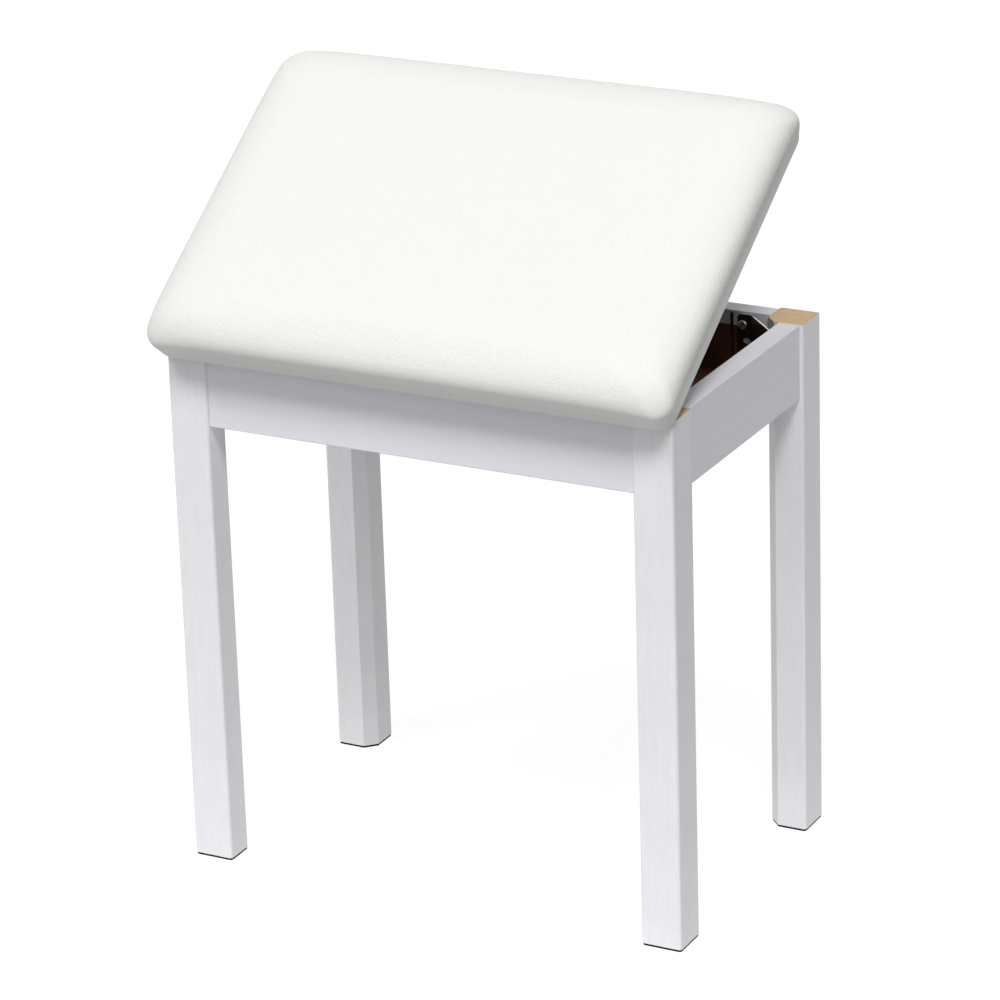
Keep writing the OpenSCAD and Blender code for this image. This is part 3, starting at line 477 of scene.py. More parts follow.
def pleat_depth(outline, half_w, half_l, shape):
    """Depth of the folds that gather the hem in each corner: narrow grooves that fan out from a point
    inside the corner, as a sum of bell curves of the angle round it."""
    dx = np.abs(outline[..., 0]) - (half_w - shape.pleat_centre)
    dy = np.abs(outline[..., 1]) - (half_l - shape.pleat_centre)
    angle = np.degrees(np.arctan2(dy, dx))
    folds = np.linspace(8, 82, shape.pleats)
    groove = np.exp(-((angle[..., None] - folds) / shape.pleat_width) ** 2).max(-1)
    return groove * ((dx > 0) & (dy > 0))


def corner_share(outline, half_w, half_l, reach):
    """1 in the corners and 0 from a reach away on the sides, by a smooth cubic step of the distance."""
    far = np.hypot(half_w - np.abs(outline[..., 0]), half_l - np.abs(outline[..., 1]))
    step = np.clip(far / reach, 0, 1)
    return 1 - step * step * (3 - 2 * step)


def cushion_rings(shape, half_w, half_l):
    """The cover's outer face with the seat shut, as rings from the hem's cut edge to the crown. The hem is
    flat, the lower edge is a quarter circle, the band is upright, the side leans out straight to a crease,
    the shoulder is a quarter ellipse and the crown rises as the product of two parabolas. In the corners
    the leather runs straight from the lower edge to the widest line, as a quarter sine. Above the band
    the corners are pulled down by a power of the distance from the middle. Offsets are counted from the
    board's outline and heights from the seat's underside. Gives the rings and the number up to the crease."""
    edge = shape.lower_edge
    # Rows crowd on both sides of the crease, so that the subdivision keeps it narrow
    quarter = np.linspace(0, math.pi / 2, 6)[1:]
    hem = np.linspace(-shape.hem, -edge, 9)
    band = np.linspace(edge, shape.band, 5)[1:-1]
    lean = np.concatenate([[0.0, 0.12], np.linspace(0.3, 0.9, shape.side_rows)])
    shoulder = np.concatenate([[0.0, 0.035], np.linspace(0.09, math.pi / 2, shape.shoulder_rows)])
    offset = np.concatenate([hem, -edge + edge * np.sin(quarter), 0 * band, shape.bulge * lean,
                             shape.bulge - shape.shoulder_width * (1 - np.cos(shoulder))])
    above = shape.shoulder_height - shape.bulge_height
    height = np.concatenate([0 * hem, edge - edge * np.cos(quarter), band,
                             shape.band + (shape.bulge_height - shape.band) * lean,
                             shape.bulge_height + above * np.sin(shoulder)])
    below = len(hem) + len(quarter) + len(band)
    swollen = shape.corner + shape.bulge / 2
    radius = np.concatenate([np.full(below, shape.corner), shape.corner + (swollen - shape.corner) * lean,
                             swollen + (shape.top_corner - swollen) * (1 - np.cos(shoulder))])
    top_w, top_l = (half + shape.bulge - shape.shoulder_width for half in (half_w, half_l))
    share = np.linspace(1, 0, shape.crown_rows + 1)[1:-1]
    steps = shape.corner_steps, shape.long_steps, shape.short_steps
    outline = rounded_outline(np.concatenate([half_w + offset, top_w * share]),
                              np.concatenate([half_l + offset, top_l * share]),
                              np.concatenate([radius, shape.top_corner * share]), *steps)
    rising = below + len(lean)
    flare = shape.bulge * np.sin(np.clip(height[:rising] / shape.bulge_height, 0, 1) * math.pi / 2)
    flare += np.minimum(offset[:rising], 0)
    flared = rounded_outline(half_w + flare, half_l + flare, shape.corner + np.clip(flare, 0, None) / 2,
                             *steps)
    blend = corner_share(outline[:rising], half_w, half_l, shape.flare_reach)[..., None]
    outline[:rising] += (flared - outline[:rising]) * blend
    rise = (1 - (outline[..., 0] / top_w) ** 2) * (1 - (outline[..., 1] / top_l) ** 2)
    z = np.concatenate([height, np.full(len(share), shape.shoulder_height)])[:, None]
    z = z * np.ones(outline.shape[1])
    z[len(height):] += shape.crown * rise[len(height):]
    pull = (np.abs(outline[..., 0]) / (half_w + shape.bulge)
            * np.abs(outline[..., 1]) / (half_l + shape.bulge))
    drop = np.clip((z - shape.band) / (shape.shoulder_height - shape.band), 0, None)
    z -= shape.corner_drop * drop * pull ** shape.drop_power
    fade = np.clip((-offset[:len(hem)] - edge) / (shape.hem / 2), 0, 1)[:, None]
    z[:len(hem)] += shape.pleat * fade * pleat_depth(outline[:len(hem)], half_w, half_l, shape)
    return np.concatenate([outline, z[..., None]], -1), rising


def above_crease(rings, crease):
    """A share for each ring that grows from 0 at the crease to 1 eight rings above it."""
    return np.clip((np.arange(len(rings)) - crease) / 8, 0, 1)


def unevenness(rings, crease, amount):
    """Slow swells and dips of hand-laid foam: a few crossed waves, none below the crease."""
    x, y = rings[..., 0], rings[..., 1]
    waves = (np.sin(x / (31 * MM) + 1.3) * np.sin(y / (27 * MM) + 0.4)
             + 0.6 * np.sin(x / (17 * MM) + y / (23 * MM))
             + 0.4 * np.sin(y / (12 * MM) - x / (39 * MM) + 2.0))
    outward = rings - rings.mean(axis=(0, 1))
    outward /= np.linalg.norm(outward, axis=-1, keepdims=True)
    return rings + outward * (waves[..., None] * amount * above_crease(rings, crease)[:, None, None] / 2)


def blown_tight(rings, crease, shape):
    """The rings after the leather has settled over its foam. A cloth with a light pressure inside is held
    fast up to the crease and runs for some frames without gravity. It starts a little smaller, because
    the pressure swells it, and no point moves further than the cap. The movement is then eased along each
    ring by repeated averages of neighbours, because the foam fills the corners and keeps them smooth."""
    start = rings.copy()
    start[..., 2] -= shape.slack * above_crease(rings, crease)[:, None]
    points, faces = skin(start, [0, 0, 0], [0, 0, start[-1, :, 2].max()])
    puppet = new_object("settling_leather", points, faces)
    held = puppet.vertex_groups.new(name="held")
    count = rings.shape[0] * rings.shape[1]
    held.add([*range(crease * rings.shape[1]), count], 1.0, "REPLACE")
    cloth = puppet.modifiers.new("settling", "CLOTH")
    for setting, value in LEATHER_CLOTH.items():
        setattr(cloth.settings, setting, value)
    cloth.settings.uniform_pressure_force = shape.pressure
    cloth.settings.vertex_group_mass = "held"
    cloth.settings.effector_weights.gravity = 0
    cloth.point_cache.frame_start, cloth.point_cache.frame_end = 1, FRAMES
    scene = bpy.context.scene
    for step in range(1, FRAMES + 1):
        scene.frame_set(step)
    settled = mesh_points(puppet.evaluated_get(bpy.context.evaluated_depsgraph_get()).data)
    scene.frame_set(1)
    move = (settled - points)[:count].reshape(rings.shape)
    bpy.data.objects.remove(puppet)
    size = np.linalg.norm(move, axis=-1, keepdims=True)
    move *= np.minimum(1, shape.cap / np.maximum(size, 1e-9))
    for _ in range(shape.ease):
        move = (np.roll(move, 1, axis=1) + 2 * move + np.roll(move, -1, axis=1)) / 4
    return start + move


def staple_shape(crown, leg, wire, sides=8):
    """A staple's wire: down one leg, round a bend, along the crown and back. Its path is a flat U whose two
    bends are quarter circles, and the section is a circle across the path."""
    bend = 1.6 * wire
    turn = np.radians(np.linspace(0, 90, 6))
    half = crown / 2
    left = np.stack([-half + bend * (1 - np.cos(turn)), bend * (1 - np.sin(turn))], -1)
    path = np.concatenate([[[-half, leg]], left, left[::-1] * [-1, 1], [[half, leg]]])
    step = np.gradient(path, axis=0)
    step /= np.linalg.norm(step, axis=1, keepdims=True)
    angle = np.linspace(0, 2 * math.pi, sides, endpoint=False)
    side = np.stack([-step[:, 1], 0 * step[:, 0], step[:, 0]], -1)
    up = np.array([0.0, 1.0, 0.0])
    centre = np.stack([path[:, 0], 0 * path[:, 0], path[:, 1]], -1)
    rings = centre[:, None, :] + wire / 2 * (np.cos(angle)[None, :, None] * side[:, None, :]
                                             + np.sin(angle)[None, :, None] * up)
    return skin(rings, centre[0], centre[-1])


def thread_wave(z, angle, pitch):
    """Height of a screw thread from 0 at the root to 1 at the crest: a triangle wave along the axis that
    moves on by one pitch in each turn."""
    phase = (z / pitch - angle / (2 * math.pi)) % 1
    return np.clip(2.4 * (1 - np.abs(2 * phase - 1)) - 0.7, 0, 1)


def cross_recess(x, y, reach, width, depth):
    """Depth of a cross recess: two crossed slots with sloping walls that run out at the reach."""
    nearest = np.minimum(np.abs(x), np.abs(y))
    wall = np.clip((width / 2 - nearest) / (0.2 * width), 0, 1)
    run_out = np.clip(1 - (np.hypot(x, y) / reach) ** 2, 0, 1) ** 0.5
    return depth * wall * run_out


def ring_at(radius, level, angle):
    """Circles of a turned profile, as rows: one for each radius and level."""
    return np.stack([radius * np.cos(angle), radius * np.sin(angle), level + 0 * angle], -1)


def screw_shape(length, shank, head, head_height, pitch, dome=True, sunk=False, columns=64):
    """A wood screw with its head's top at the origin and its point down. The surface is a profile turned
    about Z, with a thread on the shank and a cross recess in the head."""
    angle = np.linspace(0, 2 * math.pi, columns, endpoint=False)[None, :]
    root = SCREW_ROOT * shank / 2
    taper = np.linspace(0.08, 1, 8)
    z_point = taper * shank - length
    z_shank = np.arange(z_point[-1], -head_height - 0.15 * shank, pitch / 7)[1:]
    z = np.concatenate([z_point, z_shank])[:, None]
    swell = np.concatenate([taper, np.ones(len(z_shank))])[:, None]
    radius = swell * (root + (shank / 2 - root) * thread_wave(z, angle, pitch))
    rows = [ring_at(radius, z, angle)]
    r_head = head / 2
    reach, width = RECESS_REACH * r_head, RECESS_WIDTH * r_head
    deep = min(RECESS_DEPTH * reach, RECESS_LIMIT * head_height)
    edge = [(shank / 2, -head_height)]
    if sunk:
        edge += [(r_head, 0.0)]
    else:
        low = -0.5 if dome else -0.35
        edge += [(0.97 * r_head, -head_height), (r_head, -0.9 * head_height), (r_head, low * head_height)]
    rows += [ring_at(r, level, angle) for r, level in edge]
    for s in np.linspace(1, 0, 22)[1:-1]:
        if sunk:
            level = 0.0
        elif dome:
            level = edge[-1][1] * (1 - math.sqrt(max(0.0, 1 - s ** 3)))
        else:
            level = edge[-1][1] * max(0.0, (s - 0.85) / 0.15)
        x, y = s * r_head * np.cos(angle), s * r_head * np.sin(angle)
        rows.append(np.stack([x, y, level - cross_recess(x, y, reach, width, deep)], -1))
    return skin(np.concatenate(rows), [0, 0, -length], [0, 0, -deep])


def screw_places(name, on_seat):
    """Where a node's screws sit: each one's long side is its axis, and its wider end is its head. Gives
    rotation matrices that carry Z to the axis, the heads' tops, the length and the head's diameter."""
    turns, tops, sizes = [], [], []
    for points in islands(name):
        points = closed(points) if on_seat else points
        low, high = points.min(0), points.max(0)
        axis = int(np.argmax(high - low))
        others = [i for i in range(3) if i != axis]
        middle = (low + high) / 2
        distance = np.linalg.norm((points - middle)[:, others], axis=1)
        upper = points[:, axis] > middle[axis]
        sign = 1 if distance[upper].max() > distance[~upper].max() else -1
        top = middle.copy()
        top[axis] = (high if sign > 0 else low)[axis]
        z = np.zeros(3)
        z[axis] = sign
        x = np.roll(z, 1)
        turns.append(np.stack([x, np.cross(z, x), z], 1))
        tops.append(top)
        sizes.append((high[axis] - low[axis], 2 * distance.max()))
    length, head = np.median(np.array(sizes), axis=0)
    return np.array(turns), np.array(tops), length, head


def foot_outline(leg):
    """A leg's outline at its foot, as points in order round its middle, and the height of the foot."""
    points = node_points(leg)
    height = points[:, 2].min()
    foot = np.unique(np.round(points[points[:, 2] < height + 0.01 * MM, :2], 6), axis=0)
    x, y = (foot - (foot.min(0) + foot.max(0)) / 2).T
    return foot[np.argsort(np.arctan2(y, x))], height


def rod_shape(length, diameter, wood_pitch, wood_part, pitch, columns=40):
    """A hanger bolt from its wood point at z = 0 to its flat end: a coarse thread on the wood part, a plain
    neck and a fine thread on the rest, each a triangle wave round the rod."""
    angle = np.linspace(0, 2 * math.pi, columns, endpoint=False)[None, :]
    z = np.arange(0.02 * length, length, pitch / 6)[:, None]
    coarse = thread_wave(z, angle, wood_pitch) * np.clip((wood_part - z) / wood_pitch, 0, 1)
    fine = thread_wave(z, angle, pitch) * np.clip((z - wood_part - 2 * pitch) / pitch, 0, 1)
    neck = np.where(z < wood_part, coarse, fine)
    root = ROD_ROOT * diameter / 2
    tip = diameter / 4
    ends = np.minimum(1, np.minimum(0.15 + z / diameter, 0.55 + 0.45 * (length - z) / tip))
    radius = ends * (root + (diameter / 2 - root) * neck)
    return skin(ring_at(radius, z, angle), [0, 0, 0], [0, 0, length])


def clear_of(spots, names, reach):
    """True for the spots that stay a reach away from each separate solid of the named nodes."""
    free = np.ones(len(spots), bool)
    for name in names:
        for points in islands(name):
            shut = closed(points)
            low, high = shut.min(0)[:2] - reach, shut.max(0)[:2] + reach
            free &= ~((spots > low) & (spots < high)).all(axis=1)
    return free


# What a user can change

def number(name, description, value, **more):
    """A plain number that a user can change."""
    return FloatProperty(name=name, description=description, default=value, **more)


def length(name, description, millimetres):
    """A length that a user can change."""
    return number(name, description, millimetres * MM, unit="LENGTH", precision=4)


def count(name, description, value):
    """A whole number that a user can change."""
    return IntProperty(name=name, description=description, default=value)


def colour(name, description, code):
    """A colour that a user can change."""
    return FloatVectorProperty(name=name, description=description, default=linear(code), size=4, min=0,
                               max=1, subtype="COLOR")


class BenchSeatShape(bpy.types.PropertyGroup):
    """Sizes of the upholstered seat."""
    band: length("Side band", "Height of the upright side band", 10)
    cad_bulge: length("Solid's bulge", "How far the packed cover leans out past the board", 5.5)
    bulge: length("Bulge", "How far the foam leans out past the board", 4.5)
    bulge_height: length("Bulge height", "Height of the crease, which is the widest line", 24)
    shoulder_height: length("Shoulder height", "Height where the shoulder ends", 46.7)
    shoulder_width: length("Shoulder width", "Width of the rounded shoulder in plan", 40)
    crown: length("Crown", "Rise of the top above the shoulder", 3)
    corner: length("Corner", "Corner radius of the band", 15)
    top_corner: length("Top corner", "Corner radius where the shoulder ends", 36)
    flare_reach: length("Flare reach", "Distance from a corner where the band is upright again", 45)
    corner_drop: length("Corner drop", "How far the leather pulls the corners down", 19)
    drop_power: number("Drop power", "How near the corners the drop stays", 9.5)
    lower_edge: length("Lower edge", "Rounding of the band's lower edge", 1.5)
    hem: length("Hem", "Width of the hem under the board", 20)
    leather: length("Leather", "Thickness of the leather", 0.9)
    grain: length("Grain", "Width of a pebble in the leather's grain", 1.6)
    pleat: length("Pleat depth", "Depth of the folds in the hem's corners", 0.8)
    pleat_centre: length("Pleat centre", "Distance of the folds' centre from the edge", 27)
    pleat_width: number("Pleat width", "Width of a fold, in degrees round the corner", 2.6)
    pleats: count("Pleats", "Folds in each corner", 6)
    uneven: length("Unevenness", "Depth of the foam's slow waves", 0.3)
    pressure: number("Pressure", "Pressure that blows the leather tight", 0.25)
    slack: length("Slack", "How much lower the leather starts before it is blown tight", 0.5)
    cap: length("Cap", "How far the pressure may move the leather", 1)
    ease: count("Ease", "Averages of neighbours that smooth the movement", 100)
    side_rows: count("Side rows", "Rows of faces on the leaning side", 4)
    shoulder_rows: count("Shoulder rows", "Rows of faces on the shoulder", 14)
    crown_rows: count("Crown rows", "Rings of faces on the crown", 14)
    corner_steps: count("Corner steps", "Faces round one corner", 22)
    long_steps: count("Long side steps", "Faces along a long side", 36)
    short_steps: count("Short side steps", "Faces along a short side", 24)


class BenchCloth(bpy.types.PropertyGroup):
    """Sizes of the dust cloth and its staples."""
    sag: length("Sag", "How far the cloth hangs in its middle", 1.2)
    scallop: length("Scallop", "How far the edge draws in between two staples", 0.9)
    thickness: length("Thickness", "Thickness of the cloth", 0.35)
    staple_pitch: length("Staple pitch", "Distance between staples", 36)
    staple_inset: length("Staple inset", "Distance of the staples from the edge", 5)
    staple_crown: length("Staple crown", "Length of a staple's back", 10)
    staple_leg: length("Staple leg", "Length of a staple's leg", 5)
    staple_wire: length("Staple wire", "Thickness of a staple's wire", 0.7)


class BenchFittings(bpy.types.PropertyGroup):
    """Sizes of the screws' and bolts' threads."""
    screw_pitch: length("Screw pitch", "Thread pitch of the bracket screws", 1.6)
    bolt_pitch: length("Bolt pitch", "Pitch of the hanger bolts' outer thread", 1.0)
    bolt_wood_pitch: length("Wood pitch", "Pitch of the thread in the leg", 2.5)
    bolt_wood_part: length("Wood part", "Length of the thread in the leg", 22)


class BenchRails(bpy.types.PropertyGroup):
    """Sizes of the rails' foil and cuts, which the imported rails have."""
    foil_turn: length("Foil turn", "How far the foil comes down the inner face", 12.5)
    groove_top: length("Groove top", "Height of the floor's groove above the rail's lower edge", 7)
    foil: length("Foil", "How far from the inner face the foil's face may lie", 0.3)
    cut: length("Cut depth", "How deep the kerfs and the groove may go", 6.1)


class BenchPads(bpy.types.PropertyGroup):
    """Sizes of the pads under the legs."""
    inset: length("Inset", "How far a pad stays inside its leg's outline", 0.4)
    edge: length("Edge", "Rounding of a pad's lower edge", 0.2)


class BenchColours(bpy.types.PropertyGroup):
    """Colours of the bench as they are in plain light."""
    leather: colour("Leather", "Leather on its pebbles", "#dfdfdc")
    # Painted shade: the darker leather colour that is painted into the hollows between the pebbles
    leather_painted_shade: colour("Leather shade", "Leather between its pebbles", "#dcdcd9")
    paint: colour("Paint", "Lacquer on the legs", "#eeeef1")
    paint_shade: colour("Paint shade", "Lacquer over the pores", "#e6e6ea")
    foil: colour("Foil", "Foil on the rails", "#e8e7ed")
    foil_shade: colour("Foil shade", "Foil in the pores", "#e0dfe6")
    board: colour("Fibreboard", "Sawn tops of the legs", "#e4c79e")
    board_dark: colour("Dark fibres", "Dark fibres in the legs' tops", "#caa97b")
    board_light: colour("Pale patches", "Pale patches in the legs' tops", "#ecd7b5")
    brown: colour("Brown board", "Rails' inner board and the floor", "#5e3620")
    brown_dark: colour("Dark brown", "Dark mottles in the brown board", "#44240f")
    black: colour("Black coat", "Coating of the brackets", "#15110e")
    black_light: colour("Grey coat", "Coating where it is thin", "#241d18")
    # Painted highlight: bright bare metal put on the brackets' upward-facing edges, where the light from
    # above falls
    steel: colour("Worn steel", "Metal on the brackets' edges", "#c9c6bd")
    # Painted shade: a dark grey plating that keeps the bolts, nuts and washers as dark as the shaded corner
    # of the box where they sit
    plating_darkened_as_shade: colour("Blackened steel", "Dark plating of the bolts and nuts", "#55534e")
    zinc: colour("Zinc", "Plating of the screws", "#c3c3b6")
    zinc_dull: colour("Dull zinc", "Plating in its marks", "#93928a")
    nickel: colour("Nickel", "Plating of the hinge and the stay", "#d2cfc8")
    nickel_dull: colour("Dull nickel", "Plating in its marks", "#b7b4ac")
    wood: colour("Wood", "Pale wood of the seat board and the dowels", "#cfae7e")
    wood_dark: colour("Wood rings", "Darker growth rings", "#b6905e")
    pad: colour("Pad", "Pads under the legs", "#060606")
    pad_dark: colour("Dark pad", "Pads in their grain", "#020202")
    rubber: colour("Rubber", "Bumpers and cap", "#1e1e1e")
    rubber_dark: colour("Dark rubber", "Rubber in its grain", "#101010")
    cloth: colour("Cloth", "Fibres of the dust cloth", "#2b2b2e")
    cloth_dark: colour("Cloth dots", "Pressed dots of the dust cloth", "#111113")


class BenchStudio(bpy.types.PropertyGroup):
    """The studio's light and the camera's place."""
    right_key: number("Right key", "Strength of the lamp on the right", 1.76)
    left_key: number("Left key", "Strength of the lamp on the left", 1.18)
    front: number("Front", "Strength of the broad lamp in front", 0.66)
    top: number("Top", "Strength of the broad lamp overhead", 0.72)
    fill: number("Fill", "Light from all round", 0.02)
    bounce: number("Bounce", "Light from the floor near the bench", 0.82)
    bounce_far: number("Far bounce", "Light from the floor further away", 0.26)
    bounce_reach: length("Bounce reach", "Where the floor's light has halved", 600)
    camera_at: FloatVectorProperty(name="Camera", description="Place of the camera",
                                   default=(1.64915, -3.08264, 1.66578), unit="LENGTH")
    yaw: number("Yaw", "Turn of the camera about the vertical", 0.4893, unit="ROTATION")
    pitch: number("Pitch", "Tilt of the camera below the horizon", 0.3705, unit="ROTATION")
    roll: number("Roll", "Roll of the camera about its line of sight", -0.0315, unit="ROTATION")
    lens: number("Lens", "Focal length for a sensor 36 mm wide", 165.43)


# The operators

def paint_nodes(material, *names):
    """Gives CAD nodes a material in their own slots."""
    for name in names:
        frame["nodes"][name].material_slots[0].material = material


class BENCH_OT_wood(bpy.types.Operator):
    """Finish the legs, rails, floor, dowels and seat board"""
    bl_idname = "bench.wood"
    bl_label = "Wooden Pieces"

    def execute(self, context):
        colours = context.scene.bench_colours
        rails = context.scene.bench_rails
        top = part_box("leg_front_left")[1].z
        paint_nodes(lacquered_leg(colours, top), *["leg_" + c for c in CORNERS])
        low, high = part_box("front_rail"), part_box("rear_rail")
        inner_y = ((low[1].y + high[0].y) / 2, (high[0].y - low[1].y) / 2)
        low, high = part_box("left_rail"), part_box("right_rail")
        inner_x = ((low[1].x + high[0].x) / 2, (high[0].x - low[1].x) / 2)
        band, groove = top - rails.foil_turn, low[0].z + rails.groove_top
        paint_nodes(foil_rail(colours, "foil_on_long_rail", 0, inner_y, band, groove, rails),
                    "front_rail", "rear_rail")
        paint_nodes(foil_rail(colours, "foil_on_short_rail", 1, inner_x, band, groove, rails),
                    "left_rail", "right_rail")
        paint_nodes(hardboard(colours), "storage_floor")
        dark, light = colours.wood_dark, colours.wood
        paint_nodes(solid_wood("beech", dark, light, [1.2 * MM] * 3), "rail_dowels")
        paint_nodes(solid_wood("poplar_plywood", dark, light, [40 * MM, 2 * MM, 2 * MM]), "seat_board")
        return {"FINISHED"}


class BENCH_OT_fittings(bpy.types.Operator):
    """Finish the brackets, washers, nuts, hinge, stay, cap and bumpers"""
    bl_idname = "bench.fittings"
    bl_label = "Fittings"

    def execute(self, context):
        colours = context.scene.bench_colours
        paint_nodes(black_coated_sheet(colours), *["corner_bracket_" + c for c in CORNERS])
        # Painted shade: the washers and wing nuts get the dark plating so that they stay as dark as the
        # shaded corner they sit in
        dark = colours.plating_darkened_as_shade, colours.black_light
        paint_nodes(plated_steel("blackened_steel", *dark, [1.5 * MM] * 3, 0.36), "bolt_washers", "wing_nuts")
        nickel = colours.nickel, colours.nickel_dull
        paint_nodes(plated_steel("nickel_plated_steel", *nickel, [30 * MM, 0.6 * MM, 0.6 * MM], 0.28),
                    "hinge_frame_leaf", "hinge_seat_leaf", "hinge_pin")
        paint_nodes(plated_steel("nickel_plated_strip", *nickel, [1.2 * MM, 12 * MM, 12 * MM], 0.3),
                    "stay_rail_plate", "stay_lower_arm", "stay_upper_arm", "stay_seat_bracket",
                    "stay_rail_rivet", "stay_knee_rivet", "stay_seat_rivet")
        black = colours.rubber_dark, colours.rubber
        paint_nodes(moulded_black("black_rubber", *black, 0.75), "seat_bumpers")
        paint_nodes(moulded_black("black_nylon", *black, 0.5), "stay_friction_cap")
        return {"FINISHED"}


class BENCH_OT_pads(bpy.types.Operator):
    """Make the pads under the legs, with rounded corners and edges"""
    bl_idname = "bench.pads"
    bl_label = "Foot Pads"

    def execute(self, context):
        pads = context.scene.bench_pads
        colours = context.scene.bench_colours
        rubber = moulded_black("black_foot_rubber", colours.pad_dark, colours.pad, 0.9)
        quarter = np.radians(np.linspace(0, 90, 5))
        draw_in = pads.inset + np.append(pads.edge * (1 - np.sin(quarter)), 0.0)
        for corner in CORNERS:
            outline, foot = foot_outline("leg_" + corner)
            middle = (outline.min(0) + outline.max(0)) / 2
            share = 1 - draw_in / (outline[:, 0].max() - middle[0])
            level = np.append(pads.edge * (1 - np.cos(quarter)), foot)
            rings = middle + (outline - middle) * share[:, None, None]
            height = level[:, None, None] * np.ones((1, len(outline), 1))
            points, faces = skin(np.concatenate([rings, height], -1), [*middle, 0.0], [*middle, foot])
            make_piece("moulded_pad_" + corner, points, faces, rubber, "frame",
                       ["foot_pad_" + corner])
        return {"FINISHED"}


class BENCH_OT_screws(bpy.types.Operator):
    """Make the screws, with threads and cross recesses"""
    bl_idname = "bench.screws"
    bl_label = "Screws"

    def execute(self, context):
        colours = context.scene.bench_colours
        pitch = context.scene.bench_fittings.screw_pitch
        zinc = plated_steel("passivated_zinc", colours.zinc, colours.zinc_dull, [1.0 * MM] * 3, 0.3)
        for name, (on_seat, shank, head_height, coarse, dome, sunk, slot) in SCREWS.items():
            turns, tops, size, head = screw_places(name, on_seat)
            points, faces = screw_shape(size, shank * MM, head, head_height * MM, pitch * coarse, dome, sunk)
            points, faces = copies(points, faces, (turns, tops))
            points = opened(points) if on_seat else points
            make_piece(name + "_cut", points, faces, zinc, "seat" if on_seat else "frame", [name], 35)
        return {"FINISHED"}


class BENCH_OT_bolts(bpy.types.Operator):
    """Make the hanger bolts, with their two threads"""
    bl_idname = "bench.bolts"
    bl_label = "Hanger Bolts"

    def execute(self, context):
        colours = context.scene.bench_colours
        sizes = context.scene.bench_fittings
        # Painted shade: the hanger bolts get the dark plating so that they stay as dark as the shaded corner
        # they sit in
        plating = plated_steel("blackened_rod", colours.plating_darkened_as_shade, colours.black_light, [1.0 * MM] * 3, 0.36)
        everything = node_points("hanger_bolts")
        middle = (everything.min(0) + everything.max(0)) / 2
        turns, starts = [], []
        for points in islands("hanger_bolts"):
            centre = (points.min(0) + points.max(0)) / 2
            inward = np.sign(middle - centre)[:2] / math.sqrt(2)
            along = np.array([inward[0], inward[1], 0.0])
            reach = (points - centre) @ along
            side = np.array([-along[1], along[0], 0.0])
            turns.append(np.stack([side, np.cross(along, side), along], 1))
            starts.append(centre + along * reach.min())
            size, diameter = np.ptp(reach), np.ptp(points[:, 2])
        shape = rod_shape(size, diameter, sizes.bolt_wood_pitch, sizes.bolt_wood_part, sizes.bolt_pitch)
        points, faces = copies(*shape, (np.array(turns), np.array(starts)))
        make_piece("hanger_bolts_cut", points, faces, plating, "frame", ["hanger_bolts"], 60)
        return {"FINISHED"}


class BENCH_OT_seat_cover(bpy.types.Operator):
    """Make the leather cover, blown tight over its foam and folded under the board"""
    bl_idname = "bench.seat_cover"
    bl_label = "Seat Cover"

    def execute(self, context):
        shape = context.scene.bench_seat
        low, high = closed_box("seat_cover")
        middle = (low + high) / 2
        half_w, half_l = (high - low)[:2] / 2 - shape.cad_bulge
        rings, crease = cushion_rings(shape, half_w, half_l)
        rings = unevenness(rings, crease, shape.uneven)
        rings = blown_tight(rings, crease, shape)
        points, faces = skin(rings, None, [0, 0, rings[-1, :, 2].max()])
        place = np.array([middle[0], middle[1], low[2]])
        leather = pu_leather(context.scene.bench_colours, shape.grain)
        cover = make_piece("seat_cover_leather", opened(points + place), faces, leather, "seat",
                           ["seat_cover", "seat_foam"], 180)
        smooth = cover.modifiers.new("smooth", "SUBSURF")
        smooth.levels = smooth.render_levels = 1
        wall = cover.modifiers.new("leather_thickness", "SOLIDIFY")
        wall.thickness, wall.offset = shape.leather, -1.0
        return {"FINISHED"}


class BENCH_OT_dust_cloth(bpy.types.Operator):
    """Make the cloth under the seat, stapled along its edges"""
    bl_idname = "bench.dust_cloth"
    bl_label = "Dust Cloth"

    def execute(self, context):
        cloth = context.scene.bench_cloth
        low, high = closed_box("dust_cloth")
        width, depth = (high - low)[:2]
        u, v = np.meshgrid(*(np.linspace(-0.5, 0.5, points) for points in CLOTH_POINTS), indexing="ij")
        pull = cloth.scallop * np.sin(math.pi * width * (u + 0.5) / cloth.staple_pitch) ** 2
        draw = cloth.scallop * np.sin(math.pi * depth * (v + 0.5) / cloth.staple_pitch) ** 2
        edge_power, sag_power, ripple = 16, 6, 0.12
        near_x, near_y = np.abs(2 * u) ** edge_power, np.abs(2 * v) ** edge_power
        x = u * width - np.sign(u) * near_x * draw
        y = v * depth - np.sign(v) * near_y * pull
        sag = cloth.sag * (1 - (2 * u) ** sag_power) * (1 - (2 * v) ** sag_power)
        waves = ripple * np.sin(x / (11 * MM) + 3 * v) * np.sin(y / (15 * MM) - 2 * u)
        z = high[2] - cloth.thickness / 2 - sag * (1 + waves)
        points = np.stack([x + (low + high)[0] / 2, y + (low + high)[1] / 2, z], -1).reshape(-1, 3)
        faces = grid_faces(*CLOTH_POINTS, wrap=False)[:, ::-1].tolist()
        fabric = spunbond_cloth(context.scene.bench_colours)
        sheet = make_piece("dust_cloth_nonwoven", opened(points), faces, fabric, "seat",
                           ["dust_cloth"], 180)
        wall = sheet.modifiers.new("cloth_thickness", "SOLIDIFY")
        wall.thickness, wall.offset = cloth.thickness, 0.0
        return {"FINISHED"}


